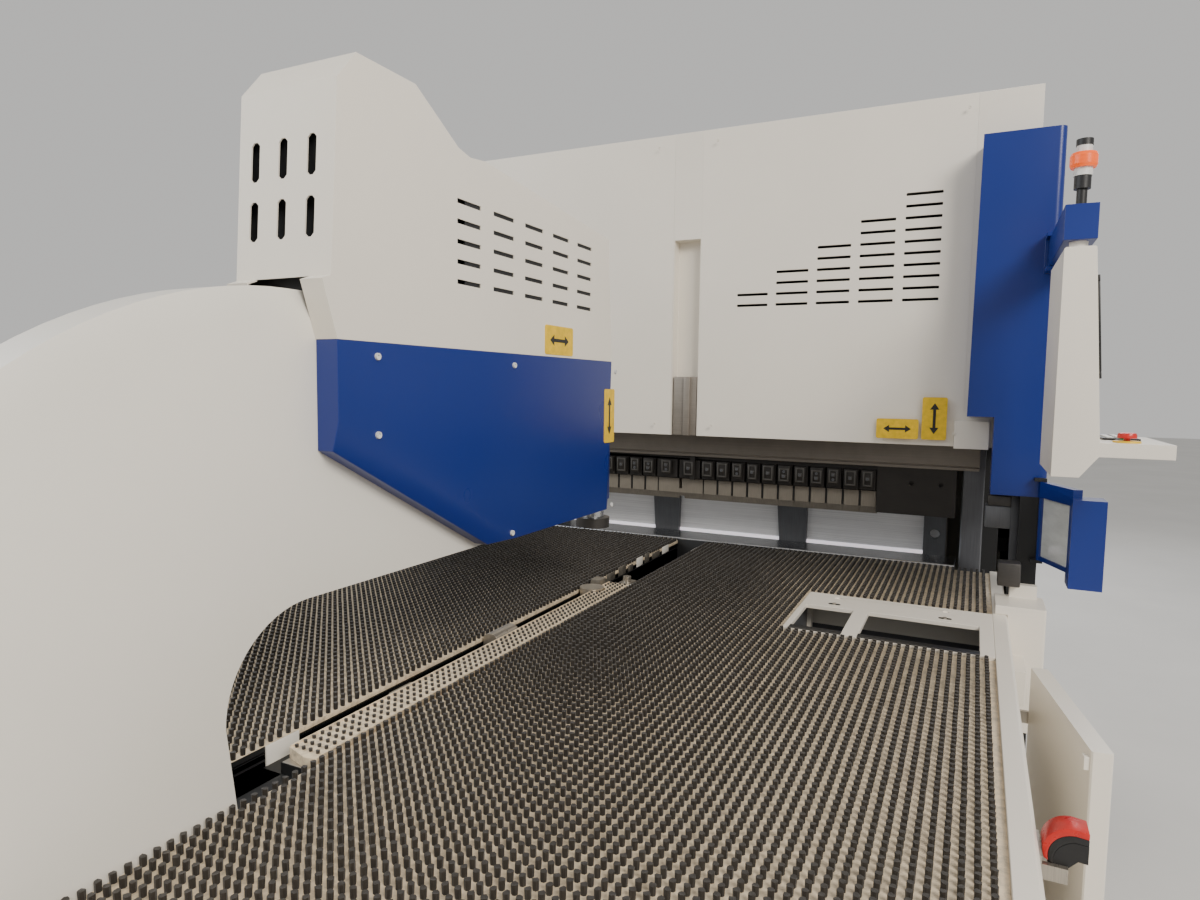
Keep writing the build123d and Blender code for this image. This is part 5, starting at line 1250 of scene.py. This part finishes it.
def build_stage():
    """Pale floor, soft studio light and the camera at the photograph's angle."""
    stage = bpy.context.scene.bender_stage
    build_floor(tuple(stage.floor))
    build_lights(stage)
    build_camera(stage.lens)


# Operators, one for each piece or group of like pieces

class BENDER_OT_finishes(bpy.types.Operator):
    """Make the paints, steels and plastics, and put them on the frame"""
    bl_idname = "bender.finishes"
    bl_label = "Finishes"

    def execute(self, context):
        build_finishes()
        return {"FINISHED"}


class BENDER_OT_rounded(bpy.types.Operator):
    """Round the edges of the hard pieces"""
    bl_idname = "bender.rounded"
    bl_label = "Rounded edges"

    def execute(self, context):
        for node, radius in ROUNDED.items():
            rounded_copy(node, radius)
        return {"FINISHED"}


class BENDER_OT_brush_beds(bpy.types.Operator):
    """Mats and bristle tufts of the two beds"""
    bl_idname = "bender.brush_beds"
    bl_label = "Brush beds"

    def execute(self, context):
        build_bed(-1)
        build_bed(1)
        return {"FINISHED"}


class BENDER_OT_slot_strip(bpy.types.Operator):
    """Narrow brush strip in the slot, with the slot's walls, clips and connectors"""
    bl_idname = "bender.slot_strip"
    bl_label = "Slot strip"

    def execute(self, context):
        build_slot_strip()
        build_slot_dressing()
        return {"FINISHED"}


class BENDER_OT_plates(bpy.types.Operator):
    """Yellow axis plates with generic arrows"""
    bl_idname = "bender.plates"
    bl_label = "Axis plates"

    def execute(self, context):
        build_plates()
        return {"FINISHED"}


class BENDER_OT_screws(bpy.types.Operator):
    """Screws of the covers and the tool clamps"""
    bl_idname = "bender.screws"
    bl_label = "Screws"

    def execute(self, context):
        build_cover_screws()
        build_clamp_screws()
        return {"FINISHED"}


class BENDER_OT_press(bpy.types.Operator):
    """Reliefs of the upper tools, dressing of the web, the hood and the corner, and the painted shade behind
    the head's vents
    """
    bl_idname = "bender.press"
    bl_label = "Press dressing"

    def execute(self, context):
        build_tool_slits()
        build_web_dressing()
        build_hood_dressing()
        build_corner_dressing()
        build_vent_linings()
        return {"FINISHED"}


class BENDER_OT_pocket(bpy.types.Operator):
    """Lining, seal, slotted places and drive covers of the pocket"""
    bl_idname = "bender.pocket"
    bl_label = "Pocket"

    def execute(self, context):
        build_pocket()
        build_drive_covers()
        return {"FINISHED"}


class BENDER_OT_panels(bpy.types.Operator):
    """Cover panels, hinges and locks on the plain sides, and the side lever's cap"""
    bl_idname = "bender.panels"
    bl_label = "Side panels"

    def execute(self, context):
        build_side_panels()
        build_hood_ends()
        build_lever()
        return {"FINISHED"}


class BENDER_OT_console(bpy.types.Operator):
    """Screen, keys, buttons and tower light of the pendant"""
    bl_idname = "bender.console"
    bl_label = "Pendant console"

    def execute(self, context):
        build_screen()
        build_keys()
        build_buttons()
        build_tower_light()
        return {"FINISHED"}


class BENDER_OT_stage(bpy.types.Operator):
    """Floor, light and camera"""
    bl_idname = "bender.stage"
    bl_label = "Stage"

    def execute(self, context):
        build_stage()
        return {"FINISHED"}


class BENDER_PT_sidebar(bpy.types.Panel):
    """The bender's settings and steps."""
    bl_idname = "BENDER_PT_sidebar"
    bl_label = "Panel bender"
    bl_space_type = "VIEW_3D"
    bl_region_type = "UI"
    bl_category = "Panel Bender"

    def draw(self, context):
        for group in ("bender_sizes", "bender_colours", "bender_stage"):
            settings = getattr(context.scene, group)
            for name in settings.__annotations__:
                self.layout.prop(settings, name)
        for operator in OPERATORS:
            self.layout.operator(operator.bl_idname)


OPERATORS = (BENDER_OT_finishes, BENDER_OT_rounded, BENDER_OT_brush_beds, BENDER_OT_slot_strip,
             BENDER_OT_pocket, BENDER_OT_plates, BENDER_OT_screws, BENDER_OT_press, BENDER_OT_panels,
             BENDER_OT_console, BENDER_OT_stage)
GROUPS = {"bender_sizes": BenderSizes, "bender_colours": BenderColours, "bender_stage": BenderStage}
CLASSES = (*GROUPS.values(), *OPERATORS, BENDER_PT_sidebar)


def register():
    for cls in CLASSES:
        bpy.utils.register_class(cls)
    for name, group in GROUPS.items():
        setattr(bpy.types.Scene, name, PointerProperty(type=group))


def unregister():
    for name in GROUPS:
        delattr(bpy.types.Scene, name)
    for cls in reversed(CLASSES):
        bpy.utils.unregister_class(cls)


def main():
    """Registers the add-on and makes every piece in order."""
    register()
    bpy.ops.bender.finishes()
    bpy.ops.bender.rounded()
    bpy.ops.bender.brush_beds()
    bpy.ops.bender.slot_strip()
    bpy.ops.bender.pocket()
    bpy.ops.bender.plates()
    bpy.ops.bender.screws()
    bpy.ops.bender.press()
    bpy.ops.bender.panels()
    bpy.ops.bender.console()
    bpy.ops.bender.stage()


if __name__ == "__main__":
    main()
